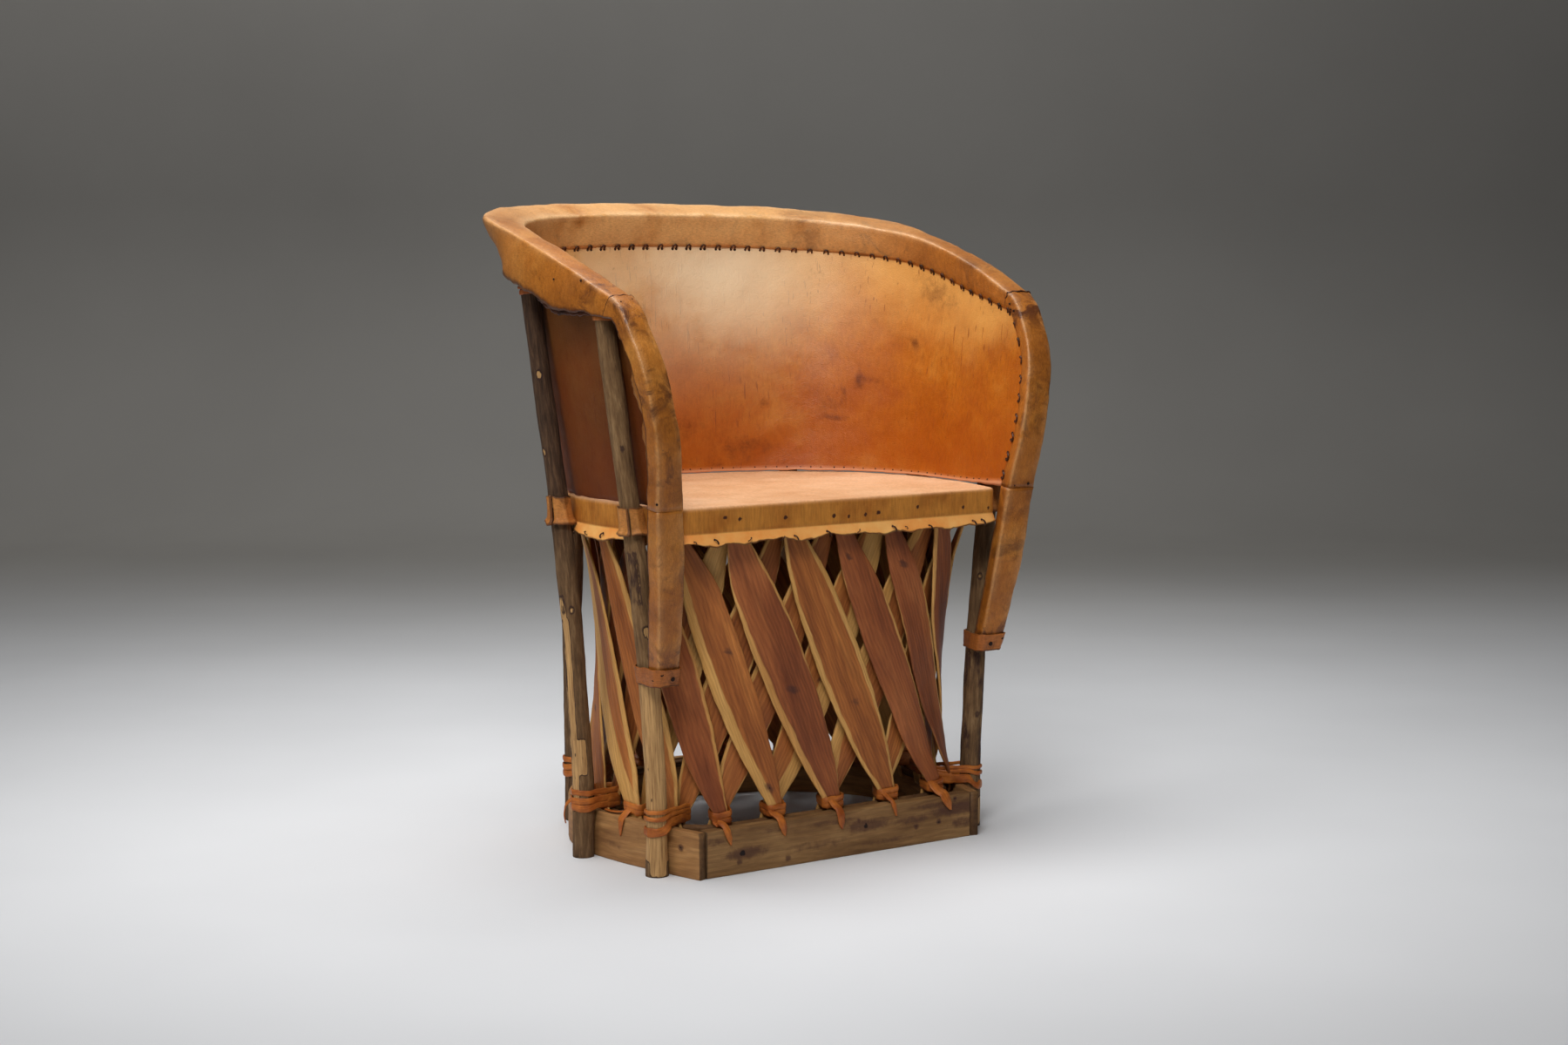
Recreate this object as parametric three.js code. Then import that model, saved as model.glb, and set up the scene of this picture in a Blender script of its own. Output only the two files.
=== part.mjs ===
// Equipale chair: a leather barrel armchair on a drum of crossed wooden slats, tied with leather thong.
// Millimetres, +Z up, the chair faces -Y and is symmetric about X = 0 apart from the lean of its slats.
// Depths along Y are counted from the face of the base's front board.
import * as THREE from "three";

// Clearance between pieces that touch
const fit = 0.3;

// Base: a straight front board and a bent side hoop
const baseHeight = 58;
const baseHalfWidth = 252;
const baseFrontHalfWidth = 213;
const baseMiddle = 200;
const baseDepth = 413;
const sideHoopThickness = 11;
const frontBoardThickness = 18;

// Rim: the arms and the back's top, and the two posts that come down in front of the seat
const rimHalfWidth = 309;
const rimFrontHalfWidth = 296;
const rimFront = 14;
const rimMiddle = 170;
const rimBack = 430;
const rimFrontHeight = 689;
const rimBackHeight = 809;
const postTipHeight = 236;
const postTipHalfWidth = 244;
const postBow = 50;
const postDepth = 20;
const postWidth = 36;
const postWidthAtSeat = 40;
const postTipWidth = 32;
const armWidth = 34;
const backWidth = 44;
const backTilt = 16;
const armBand = 36;
const backBand = 44;
const skirtDepth = 55;
const skirtFlare = 6;
const cornerLip = 14;
const cornerBulge = 8;
const cornerTuck = 44;
const rimHoopWidth = 22.6;
const rimHoopTipWidth = 19;
const rimHoopHeight = 13.5;
const rimHoopOut = 1.2;
const rimHoopChamfer = 2.8;
const ridgeRadius = 4;
const leatherThickness = 3;
const backLeatherThickness = 2.6;
const tuckDepth = 12;

// Seat: leather over a bent hoop
const seatHeight = 450;
const seatHalfWidth = 266;
const seatFront = -5;
const seatMiddle = 150;
const seatBack = 400;
const seatPostGap = 3;
const seatCornerRadius = 14;
const seatHoopCornerRadius = 20;
const fasciaHeight = 31;
const hemHeight = 15;
const hemScallop = 3;
const seatHoopThickness = 10;
const seatHoopHeight = 27;

// Poles: bark-covered sticks from the floor to the rim
const poleFootRadius = 13.5;
const poleTopRadius = 12;
const poleBow = 4;
const poleTopOut = 3;

// Slats: an outer and an inner layer that lean opposite ways between two rings
const slatThickness = 5;
const slatMostWidth = 76;
const slatBevel = 2.2;
const slatEndInset = 12;
const slatRingGap = 0.6;
const slatCrossGap = 7;
const ringRadius = 5.5;
const slatCornerRadius = 60;

// Thong and collars
const thongWidth = 11;
const thongThickness = 2.6;
const thongSlack = 0.4;
const turnGap = 1.2;
const collarThickness = 2.6;
const collarHeight = 34;
const collarSlack = 0.5;
const tipCollarHeight = 22;
const tipCollarSlack = 1.3;

// Counts
const planSteps = 12;
const cornerSteps = 5;
const fasciaSteps = 9;
const ringSides = 6;
const poleSides = 8;
const collarSides = 16;
const loopSteps = 14;
const climbPasses = 3;
const runSteps = 4;
const slatSpan = 2;

// Shapes of the plans: how they narrow to the front, and how square they are behind
const frontEase = 1.5;
const baseBackPower = 2;
const seatBackPower = 2.2;
const rimBackPower = 3;
const armRisePower = 2.6;

// Ties of the slats, from the front's middle towards the back's middle, as shares of half the ring
const tieShares = [0, 0.124, 0.236, 0.317, 0.41, 0.502, 0.628, 0.768, 0.915];
// The slats' upper ends, in the same way
const topShares = [0, 0.105, 0.22, 0.317, 0.41, 0.502, 0.628, 0.768, 0.915];
// The ties that also hold a pole, and where that pole passes the seat and meets the rim
const poleShares = [
  { name: "front", tie: 3, seatShare: 0.115, rimShare: 0.072 },
  { name: "side", tie: 5, seatShare: 0.388, rimShare: 0.35 },
  { name: "back", tie: 7, seatShare: 0.7, rimShare: 0.74 },
];
// A slat's leaf shape: shares of its length and of its full width
const leafShares = [
  [0, 0.34],
  [0.05, 0.36],
  [0.17, 0.68],
  [0.34, 0.93],
  [0.6, 1],
  [0.8, 0.8],
  [0.96, 0.34],
  [1, 0.24],
];
const slatFillShare = 0.92;
// Places on a post: below the seat and then above it, as shares of each height,
// with shares of the way out to the arm and of the forward bow
const postShares = [
  { up: 0, out: 0, bow: 0 },
  { up: 0.5, out: 0.18, bow: 0.46 },
  { up: 1, out: 0.37, bow: 0.75 },
  { up: 0.36, out: 0.58, bow: 1 },
  { up: 0.68, out: 0.82, bow: 0.86 },
  { up: 0.87, out: 0.94, bow: 0.44 },
];
const hemOutShare = 0.28;
// Places on an arm, from the front to the middle of the back, and where its skirt and back widen
const armShares = [0, 0.075, 0.16, 0.26, 0.37, 0.49, 0.61, 0.73, 0.86, 1];
const skirtOpenShare = 0.16;
const backStartShare = 0.25;
const backFullShare = 0.75;
const skirtBulgeShare = 0.7;
const skirtBulgeAtShare = 0.4;
// Between which places the lip of a rear corner comes up and dies away again
const cornerShares = [0.38, 0.5, 0.56, 0.67];
const backEaseShare = 0.14;
// Where a thong between two ties starts to drop and where it is down
const runDropShare = 0.3;
const runDownShare = 0.75;

const leatherColour = 0xc98a4b;
const barkColour = 0x6b5138;
const boardColour = 0xa9824f;
const heartwoodColour = 0x7c4a35;
const sapwoodColour = 0xb48a50;
const thongColour = 0xa65a22;

// A length between two others, and a smooth step from 0 to 1
const mix = THREE.MathUtils.lerp;
const smooth = THREE.MathUtils.smoothstep;
const clamp = THREE.MathUtils.clamp;

function finish(color, roughness) {
  return new THREE.MeshStandardMaterial({ color, roughness, metalness: 0 });
}

// Plans

const seatFrontHalfWidth =
  mix(postTipHalfWidth, rimFrontHalfWidth, hemOutShare) - postWidthAtSeat / 2 - seatPostGap;
const basePlan = {
  half: baseHalfWidth,
  frontHalf: baseFrontHalfWidth,
  front: 0,
  middle: baseMiddle,
  back: baseDepth,
  power: baseBackPower,
};
const seatPlan = {
  half: seatHalfWidth,
  frontHalf: seatFrontHalfWidth,
  front: seatFront,
  middle: seatMiddle,
  back: seatBack,
  power: seatBackPower,
};
const rimPlan = {
  half: rimHalfWidth,
  frontHalf: rimFrontHalfWidth,
  front: rimFront,
  middle: rimMiddle,
  back: rimBack,
  power: rimBackPower,
};

// The left side of a plan, from its front corner to the middle of its back
function leftSide(plan) {
  const points = [];
  for (let i = 0; i < planSteps; i++) {
    const t = 1 - i / planSteps;
    const x = plan.half - (plan.half - plan.frontHalf) * t ** frontEase;
    points.push(new THREE.Vector2(-x, mix(plan.middle, plan.front, t)));
  }
  for (let i = 0; i <= planSteps; i++) {
    const angle = (Math.PI / 2) * (i / planSteps);
    const x = plan.half * Math.cos(angle) ** (2 / plan.power);
    const y = (plan.back - plan.middle) * Math.sin(angle) ** (2 / plan.power);
    points.push(new THREE.Vector2(i < planSteps ? -x : 0, plan.middle + y));
  }
  return points;
}

function mirrored(point) {
  return new THREE.Vector2(-point.x, point.y);
}

// A plan polyline with the outward direction at each of its points.
// A point's reach is how far it moves for its edges to move out by one.
class Outline {
  constructor(points, closed) {
    this.points = points;
    this.closed = closed;
    const count = points.length;
    const edges = points.map((point, i) => points[(i + 1) % count].clone().sub(point));
    const normals = edges.map((edge) => new THREE.Vector2(-edge.y, edge.x).normalize());
    if (!closed) normals[count - 1] = normals[count - 2];
    this.normals = normals.map((normal, i) => {
      const before = closed || i > 0 ? normals[(i + count - 1) % count] : normal;
      return normal.clone().add(before).normalize();
    });
    this.reaches = this.normals.map((normal, i) => 1 / normal.dot(normals[i]));
    this.lengths = [0];
    edges.forEach((edge, i) => this.lengths.push(this.lengths[i] + edge.length()));
    if (!closed) this.lengths.pop();
    this.length = this.lengths.at(-1);
  }

  // The number of the edge at a share of the length, and the share of that edge
  find(share) {
    const whole = this.closed ? share - Math.floor(share) : clamp(share, 0, 1);
    const target = whole * this.length;
    let i = 0;
    while (i < this.lengths.length - 2 && this.lengths[i + 1] < target) i++;
    const along = (target - this.lengths[i]) / (this.lengths[i + 1] - this.lengths[i]);
    return { i, next: (i + 1) % this.points.length, along };
  }

  point(share) {
    const { i, next, along } = this.find(share);
    return this.points[i].clone().lerp(this.points[next], along);
  }

  outward(share) {
    const { i, next, along } = this.find(share);
    return this.normals[i].clone().lerp(this.normals[next], along).normalize();
  }

  outside(share, distance) {
    return this.point(share).addScaledVector(this.outward(share), distance);
  }

  // The parallel outline a distance inside this one, with as many points
  inset(distance) {
    const moved = this.points.map((point, i) => {
      return point.clone().addScaledVector(this.normals[i], -distance * this.reaches[i]);
    });
    return new Outline(moved, this.closed);
  }

  // The share of the length nearest to a point
  nearestShare(point) {
    const samples = 40 * this.points.length;
    let best = 0;
    let least = Infinity;
    for (let i = 0; i <= samples; i++) {
      const distance = this.point(i / samples).distanceTo(point);
      if (distance >= least) continue;
      least = distance;
      best = i / samples;
    }
    return best;
  }
}

// The plan's sides and back, open at the front, whose ends stay in the front's plane when inset
function sideOutline(plan) {
  const left = leftSide(plan);
  const side = new Outline([...left, ...left.slice(0, -1).reverse().map(mirrored)], false);
  [0, side.points.length - 1].forEach((i) => {
    const edgeNormal = side.normals[i];
    side.normals[i] = new THREE.Vector2(Math.sign(side.points[i].x), 0);
    side.reaches[i] = 1 / side.normals[i].dot(edgeNormal);
  });
  return side;
}

// The point of a polyline that rises in Y at a depth
function atDepth(points, depth) {
  let i = 0;
  while (i < points.length - 2 && points[i + 1].y < depth) i++;
  const along = (depth - points[i].y) / (points[i + 1].y - points[i].y);
  return points[i].clone().lerp(points[i + 1], along);
}

// The closed outline of a side and a straight front, from the front's middle to the left
function closedOutline(side, front, cornerRadius, frontSteps) {
  const left = side.points.slice(0, (side.points.length + 1) / 2);
  const corner = atDepth(left, front);
  const end = atDepth(left, front + cornerRadius);
  const start = new THREE.Vector2(corner.x + cornerRadius, front);
  const straight = Array.from({ length: frontSteps }, (_, i) => {
    return new THREE.Vector2(start.x * (i / frontSteps), front);
  });
  const bend = new THREE.QuadraticBezierCurve(start, corner, end).getPoints(cornerSteps);
  const beyond = left.filter((point) => point.y > end.y + cornerRadius / cornerSteps);
  const half = [...straight, ...bend, ...beyond];
  const other = half.slice(1, -1).reverse().map(mirrored);
  return new Outline([...half, ...other], true);
}

function lifted(point, z) {
  return new THREE.Vector3(point.x, point.y, z);
}

// Solids

// The triangles that close a loop, paired off from both sides of its first point
function capIndex(first, count) {
  const index = [];
  for (let j = 0; j + 1 < count - 1 - j; j++) {
    const k = count - 1 - j;
    index.push(first + j, first + j + 1, first + k);
    if (j + 1 < k - 1) index.push(first + j + 1, first + k - 1, first + k);
  }
  return index;
}

// Joins loops of equal count one after the other into one closed surface.
// The surface closes on itself, or ends in caps over its first and last loops.
function loftedGeometry(loops, closesOnItself) {
  const count = loops[0].length;
  const positions = loops.flat().flatMap((p) => [p.x, p.y, p.z]);
  const index = [];
  const rows = closesOnItself ? loops.length : loops.length - 1;
  for (let j = 0; j < rows; j++) {
    const a = j * count;
    const b = ((j + 1) % loops.length) * count;
    for (let i = 0; i < count; i++) {
      const k = (i + 1) % count;
      index.push(a + i, b + i, b + k, a + i, b + k, a + k);
    }
  }
  if (!closesOnItself) {
    index.push(...capIndex(0, count), ...capIndex((loops.length - 1) * count, count).reverse());
  }
  return facingOut(positions, index);
}

// A geometry from points and triangles, turned round if its faces point inwards
function facingOut(positions, index) {
  let volume = 0;
  const corner = (n) => new THREE.Vector3().fromArray(positions, 3 * index[n]);
  for (let n = 0; n < index.length; n += 3) {
    volume += corner(n).dot(corner(n + 1).cross(corner(n + 2)));
  }
  if (volume < 0) index.reverse();
  const geometry = new THREE.BufferGeometry();
  geometry.setAttribute("position", new THREE.Float32BufferAttribute(positions, 3));
  geometry.setIndex(index);
  geometry.computeVertexNormals();
  return geometry;
}

// A band of upright section between two outlines of equal count
function bandGeometry(outer, inner, bottom, top) {
  const loops = outer.points.map((point, i) => [
    lifted(point, bottom),
    lifted(point, top),
    lifted(inner.points[i], top),
    lifted(inner.points[i], bottom),
  ]);
  return loftedGeometry(loops, outer.closed);
}

// A ring of round section that follows an outline at one height
function ringGeometry(outline, height) {
  const sides = Array.from({ length: ringSides }, (_, j) => {
    const angle = (2 * Math.PI * (j + 0.5)) / ringSides;
    const moved = outline.inset(-ringRadius * Math.cos(angle));
    return moved.points.map((point) => lifted(point, height + ringRadius * Math.sin(angle)));
  });
  return loftedGeometry(
    outline.points.map((_, i) => sides.map((side) => side[i])),
    true,
  );
}

// The point of a set that is farthest in a direction of the plan
function farthest(points, direction) {
  const reach = (point) => point.x * direction.x + point.y * direction.y;
  return points.reduce((best, point) => (reach(point) > reach(best) ? point : best));
}

// A collar round the points that stand inside it at its two heights
function collarGeometry(pointsAt, bottom, top, slack) {
  const loop = (z, skin) => {
    const points = pointsAt(z);
    return Array.from({ length: collarSides }, (_, i) => {
      const angle = (2 * Math.PI * (i + 0.5)) / collarSides;
      const direction = new THREE.Vector2(Math.cos(angle), Math.sin(angle));
      const spot = farthest(points, direction);
      return lifted(direction.multiplyScalar(skin).add(spot), z);
    });
  };
  const outer = slack + collarThickness;
  const loops = [loop(bottom, outer), loop(top, outer), loop(top, slack), loop(bottom, slack)];
  return loftedGeometry(loops, true);
}

// A sheet of even thickness about a mesh of points and triangles
function sheetGeometry(points, triangles, thickness) {
  const middle = new THREE.BufferGeometry().setFromPoints(points);
  middle.setIndex(triangles);
  middle.computeVertexNormals();
  const normals = middle.getAttribute("normal");
  const positions = [];
  [thickness / 2, -thickness / 2].forEach((offset) => {
    points.forEach((point, i) => {
      const normal = new THREE.Vector3().fromBufferAttribute(normals, i);
      const moved = point.clone().addScaledVector(normal, offset);
      positions.push(moved.x, moved.y, moved.z);
    });
  });
  const count = points.length;
  const index = [...triangles];
  const edges = new Set();
  for (let n = 0; n < triangles.length; n += 3) {
    const [a, b, c] = triangles.slice(n, n + 3);
    index.push(count + a, count + c, count + b);
    edges.add(a + " " + b).add(b + " " + c).add(c + " " + a);
  }
  edges.forEach((edge) => {
    const [a, b] = edge.split(" ").map(Number);
    if (edges.has(b + " " + a)) return;
    index.push(a, count + a, b, b, count + a, count + b);
  });
  return facingOut(positions, index);
}

// The base's outlines: the hoop, and the inner face of hoop and board together

const hoopOutside = sideOutline(basePlan);
const hoopInside = hoopOutside.inset(sideHoopThickness);
const baseFace = closedOutline(hoopInside, frontBoardThickness, slatCornerRadius, 1);
const seatSide = sideOutline(seatPlan);

// A point outside the base's hoop, opposite a tie
function outsideHoop(tieShare, distance) {
  const share = hoopOutside.nearestShare(baseFace.point(tieShare));
  return hoopOutside.outside(share, distance);
}

function poleFoot(pole) {
  return outsideHoop(tieShares[pole.tie] / 2, fit + poleFootRadius);
}

// The rail: the line of the rim's top face, from the left post's tip over the back to the right one's

const seatAt = postShares.findIndex((place) => place.up === 1);
const rimStart = postShares.length;
const rimSide = new Outline(leftSide(rimPlan), false);
const postWidths = [
  postTipWidth,
  postWidthAtSeat,
  postWidthAtSeat,
  postWidth,
  postWidth,
  armWidth,
];
// The front pole stands behind the post's tip, so the tip's depth follows from it
const frontPole = poleShares[0];
const backPole = poleShares.at(-1);
const postTipDepth = poleFoot(frontPole).y - poleFootRadius - postDepth - fit;

function armHeight(share) {
  return mix(rimFrontHeight, rimBackHeight, 1 - (1 - share) ** armRisePower);
}

function postKnot(place, i) {
  const [low, high] = i <= seatAt ? [postTipHeight, seatHeight] : [seatHeight, rimFrontHeight];
  const z = mix(low, high, place.up);
  const whole = (z - postTipHeight) / (rimFrontHeight - postTipHeight);
  return {
    at: new THREE.Vector3(
      -mix(postTipHalfWidth, rimFrontHalfWidth, place.out),
      mix(postTipDepth, rimFront, whole) - postBow * place.bow,
      z,
    ),
    outward: lifted(rimSide.outward(0), 0),
    width: postWidths[i],
    tilt: 0,
    band: postDepth,
    skirt: postDepth,
    flare: 0,
    bulge: 0,
    lip: 0,
  };
}

function armKnot(share) {
  const opened = smooth(share, 0, skirtOpenShare);
  const behind = smooth(share, backStartShare, backFullShare);
  const [rises, whole, falls, gone] = cornerShares;
  const corner = smooth(share, rises, whole) - smooth(share, falls, gone);
  const flare = skirtFlare * opened;
  return {
    at: lifted(rimSide.point(share), armHeight(share)),
    outward: lifted(share < 1 ? rimSide.outward(share) : new THREE.Vector2(0, 1), 0),
    width: mix(armWidth, backWidth, behind),
    tilt: backTilt * behind,
    band: mix(mix(postDepth, armBand, opened), backBand, behind),
    skirt: mix(postDepth, skirtDepth, opened),
    flare: mix(flare, -cornerTuck, corner),
    bulge: mix(flare * skirtBulgeShare, -cornerBulge, corner),
    lip: cornerLip * corner,
  };
}

function mirroredKnot(knot) {
  const flip = new THREE.Vector3(-1, 1, 1);
  return {
    ...knot,
    at: knot.at.clone().multiply(flip),
    outward: knot.outward.clone().multiply(flip),
  };
}

const leftKnots = [...postShares.map(postKnot), ...armShares.map(armKnot)];
const knots = [...leftKnots, ...leftKnots.slice(0, -1).reverse().map(mirroredKnot)];
const lastKnot = knots.length - 1;
const railLine = new THREE.CatmullRomCurve3(knots.map((knot) => knot.at));
const railOutward = new THREE.CatmullRomCurve3(knots.map((knot) => knot.outward));

// The knot numbers at which every piece of the rim has a section: each knot, each half, each joint
const sleeveEnd = seatAt - (seatAt * fit) / (seatHeight - postTipHeight);
const railNumbers = Array.from({ length: 2 * lastKnot + 1 }, (_, i) => i / 2);
railNumbers.push(sleeveEnd, lastKnot - sleeveEnd);
railNumbers.sort((a, b) => a - b);

function railBetween(first, last) {
  return railNumbers.filter((number) => number >= first && number <= last);
}

// A station of the rail: a place, its outward and upward directions, and the rim's sizes there
function railStation(number) {
  const t = number / lastKnot;
  const i = Math.min(Math.floor(number), lastKnot - 1);
  const size = (name) => mix(knots[i][name], knots[i + 1][name], number - i);
  const outward = railOutward.getPoint(t).normalize();
  return {
    at: railLine.getPoint(t),
    outward,
    upward: railLine.getTangent(t).cross(outward).normalize(),
    width: size("width"),
    tilt: size("tilt"),
    band: size("band"),
    skirt: size("skirt"),
    flare: size("flare"),
    bulge: size("bulge"),
    lip: size("lip"),
  };
}

// A point of the rim's section: across, outwards positive, and up from the rail
function onRail(station, across, up) {
  const lean = (station.tilt * across) / station.width;
  return station.at
    .clone()
    .addScaledVector(station.outward, across)
    .addScaledVector(station.upward, up + lean);
}

// The leather channel over the rail: its inner band, top face and outer skirt
function channelSection(station) {
  const half = station.width / 2;
  const lip = half + station.lip;
  const bulge = lip + station.bulge;
  const bulgeAt = -station.skirt * skirtBulgeAtShare;
  const hem = lip + station.flare;
  const wall = leatherThickness;
  const corner = ridgeRadius + wall / 2;
  return [
    [-half, -station.band],
    [-half, -ridgeRadius],
    [ridgeRadius - half, 0],
    [lip - ridgeRadius, 0],
    [lip, -ridgeRadius],
    [bulge, bulgeAt],
    [hem, -station.skirt],
    [hem - wall, -station.skirt],
    [bulge - wall, bulgeAt],
    [lip - wall, -corner],
    [lip - corner, -wall],
    [corner - half, -wall],
    [wall - half, -corner],
    [wall - half, -station.band],
  ].map(([across, up]) => onRail(station, across, up));
}

function channelGeometry(first, last) {
  const stations = railBetween(first, last).map(railStation);
  return loftedGeometry(stations.map(channelSection), false);
}

// The bent stick inside the channel, thinner towards the posts' tips
function rimHoopGeometry() {
  const top = -leatherThickness - 2 * fit;
  const bottom = top - rimHoopHeight;
  const loops = railBetween(0, lastKnot).map((number) => {
    const above = smooth(Math.min(number, lastKnot - number), 0, seatAt);
    const half = mix(rimHoopTipWidth, rimHoopWidth, above) / 2;
    const out = rimHoopOut * above;
    const flat = half - rimHoopChamfer;
    return [
      [out - half, bottom + rimHoopChamfer],
      [out - half, top - rimHoopChamfer],
      [out - flat, top],
      [out + flat, top],
      [out + half, top - rimHoopChamfer],
      [out + half, bottom + rimHoopChamfer],
      [out + flat, bottom],
      [out - flat, bottom],
    ].map(([across, up]) => onRail(railStation(number), across, up));
  });
  return loftedGeometry(loops, false);
}

// The back's leather: from the seat's edge up into the channel, all round from post to post

function tuckAcross(station) {
  return leatherThickness + 2 * fit + backLeatherThickness / 2 - station.width / 2;
}

function underBand(number) {
  const station = railStation(number);
  return onRail(station, tuckAcross(station), -station.band - fit);
}

function insideBand(number) {
  const station = railStation(number);
  return onRail(station, tuckAcross(station), -tuckDepth);
}

// The share of the whole rim, from one arm's front to the other's, at a knot number
function rimShareAt(number) {
  const fromEnd = Math.min(number, lastKnot - number) - rimStart;
  const i = Math.min(Math.floor(fromEnd), armShares.length - 2);
  const share = mix(armShares[i], armShares[i + 1], fromEnd - i) / 2;
  return number < lastKnot / 2 ? share : 1 - share;
}

function backLeatherGeometry() {
  const bottomZ = seatHeight + fit;
  const seatEdge = seatSide.inset(fit + backLeatherThickness);
  const columns = railBetween(rimStart, lastKnot - rimStart);
  const rows = railBetween(seatAt, rimStart);
  const plain = (number, v) => {
    const low = lifted(seatEdge.point(rimShareAt(number)), bottomZ);
    return low.lerp(underBand(number), v);
  };
  const place = (number, j) => {
    const v = j / (rows.length - 1);
    const point = plain(number, v);
    const share = rimShareAt(number);
    const away = 1 - Math.min(share, 1 - share) / backEaseShare;
    if (away <= 0) return point;
    const left = share < 1 / 2;
    const post = underBand(left ? rows[j] : lastKnot - rows[j]);
    if (j === 0) post.z = bottomZ;
    const straight = plain(left ? rimStart : lastKnot - rimStart, v);
    return point.addScaledVector(post.sub(straight), away ** 2);
  };

  const points = columns.flatMap((number) => rows.map((_, j) => place(number, j)));
  const at = (i, j) => i * rows.length + j;
  const triangles = [];
  for (let i = 0; i < columns.length - 1; i++) {
    for (let j = 0; j < rows.length - 1; j++) {
      const [a, b, c, d] = [at(i, j), at(i + 1, j), at(i + 1, j + 1), at(i, j + 1)];
      triangles.push(a, b, c, a, c, d);
    }
  }

  // The strip inside the channel, up the left post, round the rim and down the right post
  const top = rows.length - 1;
  const end = columns.length - 1;
  const border = [
    ...rows.slice(0, -1).map((number, j) => [at(0, j), number]),
    ...columns.map((number, i) => [at(i, top), number]),
    ...rows
      .slice(0, -1)
      .map((number, j) => [at(end, j), lastKnot - number])
      .reverse(),
  ];
  const strip = points.length;
  border.forEach(([, number]) => {
    const tucked = insideBand(number);
    tucked.z = Math.max(tucked.z, bottomZ);
    points.push(tucked);
  });
  for (let k = 0; k < border.length - 1; k++) {
    const [a, b] = [border[k][0], border[k + 1][0]];
    triangles.push(a, b, strip + k, b, strip + k + 1, strip + k);
  }
  return sheetGeometry(points, triangles, backLeatherThickness);
}

// The seat's leather: a flat top, a fascia and a scalloped hem, hollow below
function seatLeatherGeometry() {
  const outer = closedOutline(seatSide, seatFront, seatCornerRadius, fasciaSteps);
  const inner = outer.inset(leatherThickness);
  const under = seatHeight - leatherThickness;
  const hemTop = seatHeight - fasciaHeight;
  const level = (outline, z) => outline.points.map((point) => lifted(point, z));
  const hem = (outline) => {
    return outline.points.map((point, i) => {
      return lifted(point, hemTop - hemHeight + hemScallop * (i % 2));
    });
  };
  const loops = [
    level(inner, seatHeight),
    level(outer, under),
    level(outer, hemTop),
    hem(outer),
    hem(inner),
    level(inner, hemTop),
    level(inner, under),
  ];
  return loftedGeometry(loops, false);
}

// Poles

const turnRise = thongWidth + turnGap;
const firstTurnHeight = baseHeight + fit + turnRise / 2;
const lashTop = firstTurnHeight + 2 * turnRise + thongWidth / 2;
const collarLow = seatHeight - collarHeight - fit;
const collarTop = collarLow + collarHeight;

function poleRadius(z) {
  return mix(poleFootRadius, poleTopRadius, Math.min(z / rimFrontHeight, 1));
}

// A pole's line above its lashing, past the seat's edge and up under the rim
function poleCurve(pole, side) {
  const foot = poleFoot(pole);
  const seatOut = 2 * fit + collarSlack + collarThickness + poleRadius(collarLow);
  const seatSpot = seatSide.outside(pole.seatShare / 2, seatOut);
  const rimSpot = rimSide.outside(pole.rimShare, poleTopOut);
  const below = leatherThickness + 3 * fit + rimHoopHeight + backTilt / 2;
  const top = armHeight(pole.rimShare - poleTopRadius / rimSide.length) - below;
  const bowed = foot.clone().lerp(seatSpot, 1 / 2);
  bowed.addScaledVector(seatSpot.clone().sub(foot).normalize(), -poleBow);
  const line = [
    lifted(foot, lashTop),
    lifted(bowed, (lashTop + collarLow) / 2),
    lifted(seatSpot, collarLow),
    lifted(seatSpot.clone().lerp(rimSpot, 1 / 2), (collarLow + top) / 2),
    lifted(rimSpot, top),
  ];
  line.forEach((point) => {
    point.x *= -side;
  });
  return new THREE.CatmullRomCurve3(line);
}

// A pole's middle at a height: plumb below the top of its lashing, then on its curve
function poleMiddle(curve, z) {
  if (z <= lashTop) return curve.getPoint(0);
  let low = 0;
  let high = 1;
  for (let i = 0; i < 40; i++) {
    const middle = (low + high) / 2;
    if (curve.getPoint(middle).z < z) low = middle;
    else high = middle;
  }
  return curve.getPoint(high);
}

const poles = poleShares.flatMap((pole) => {
  return [-1, 1].map((side) => ({
    name: pole.name + (side < 0 ? "_left" : "_right"),
    tie: side < 0 ? pole.tie : -pole.tie,
    side,
    curve: poleCurve(pole, side),
  }));
});

// The corners of a pole at a height
function poleLoop(pole, z) {
  const centre = poleMiddle(pole.curve, z);
  return Array.from({ length: poleSides }, (_, j) => {
    const angle = (2 * Math.PI * j) / poleSides;
    const out = new THREE.Vector2(Math.cos(angle), Math.sin(angle)).multiplyScalar(poleRadius(z));
    return lifted(out.add(centre), z);
  });
}

function poleGeometry(pole) {
  const top = pole.curve.getPoint(1).z;
  const heights = [
    0,
    lashTop,
    mix(lashTop, collarLow, 1 / 4),
    mix(lashTop, collarLow, 2 / 4),
    mix(lashTop, collarLow, 3 / 4),
    collarLow,
    collarTop,
    mix(collarTop, top, 1 / 3),
    mix(collarTop, top, 2 / 3),
    top,
  ];
  return loftedGeometry(
    heights.map((z) => poleLoop(pole, z)),
    false,
  );
}

// What a band round a post's tip holds: the post's sleeve and the pole behind it
function tipPoints(pole, z) {
  const knot = ((z - postTipHeight) / (seatHeight - postTipHeight)) * seatAt;
  const sections = [0, 1 / 2].map((number) => channelSection(railStation(number)));
  const sleeve = sections[0].map((point, i) => {
    const spot = point.clone().lerp(sections[1][i], 2 * knot);
    spot.x *= -pole.side;
    return spot;
  });
  return [...sleeve, ...poleLoop(pole, z)];
}

// Slats

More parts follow.
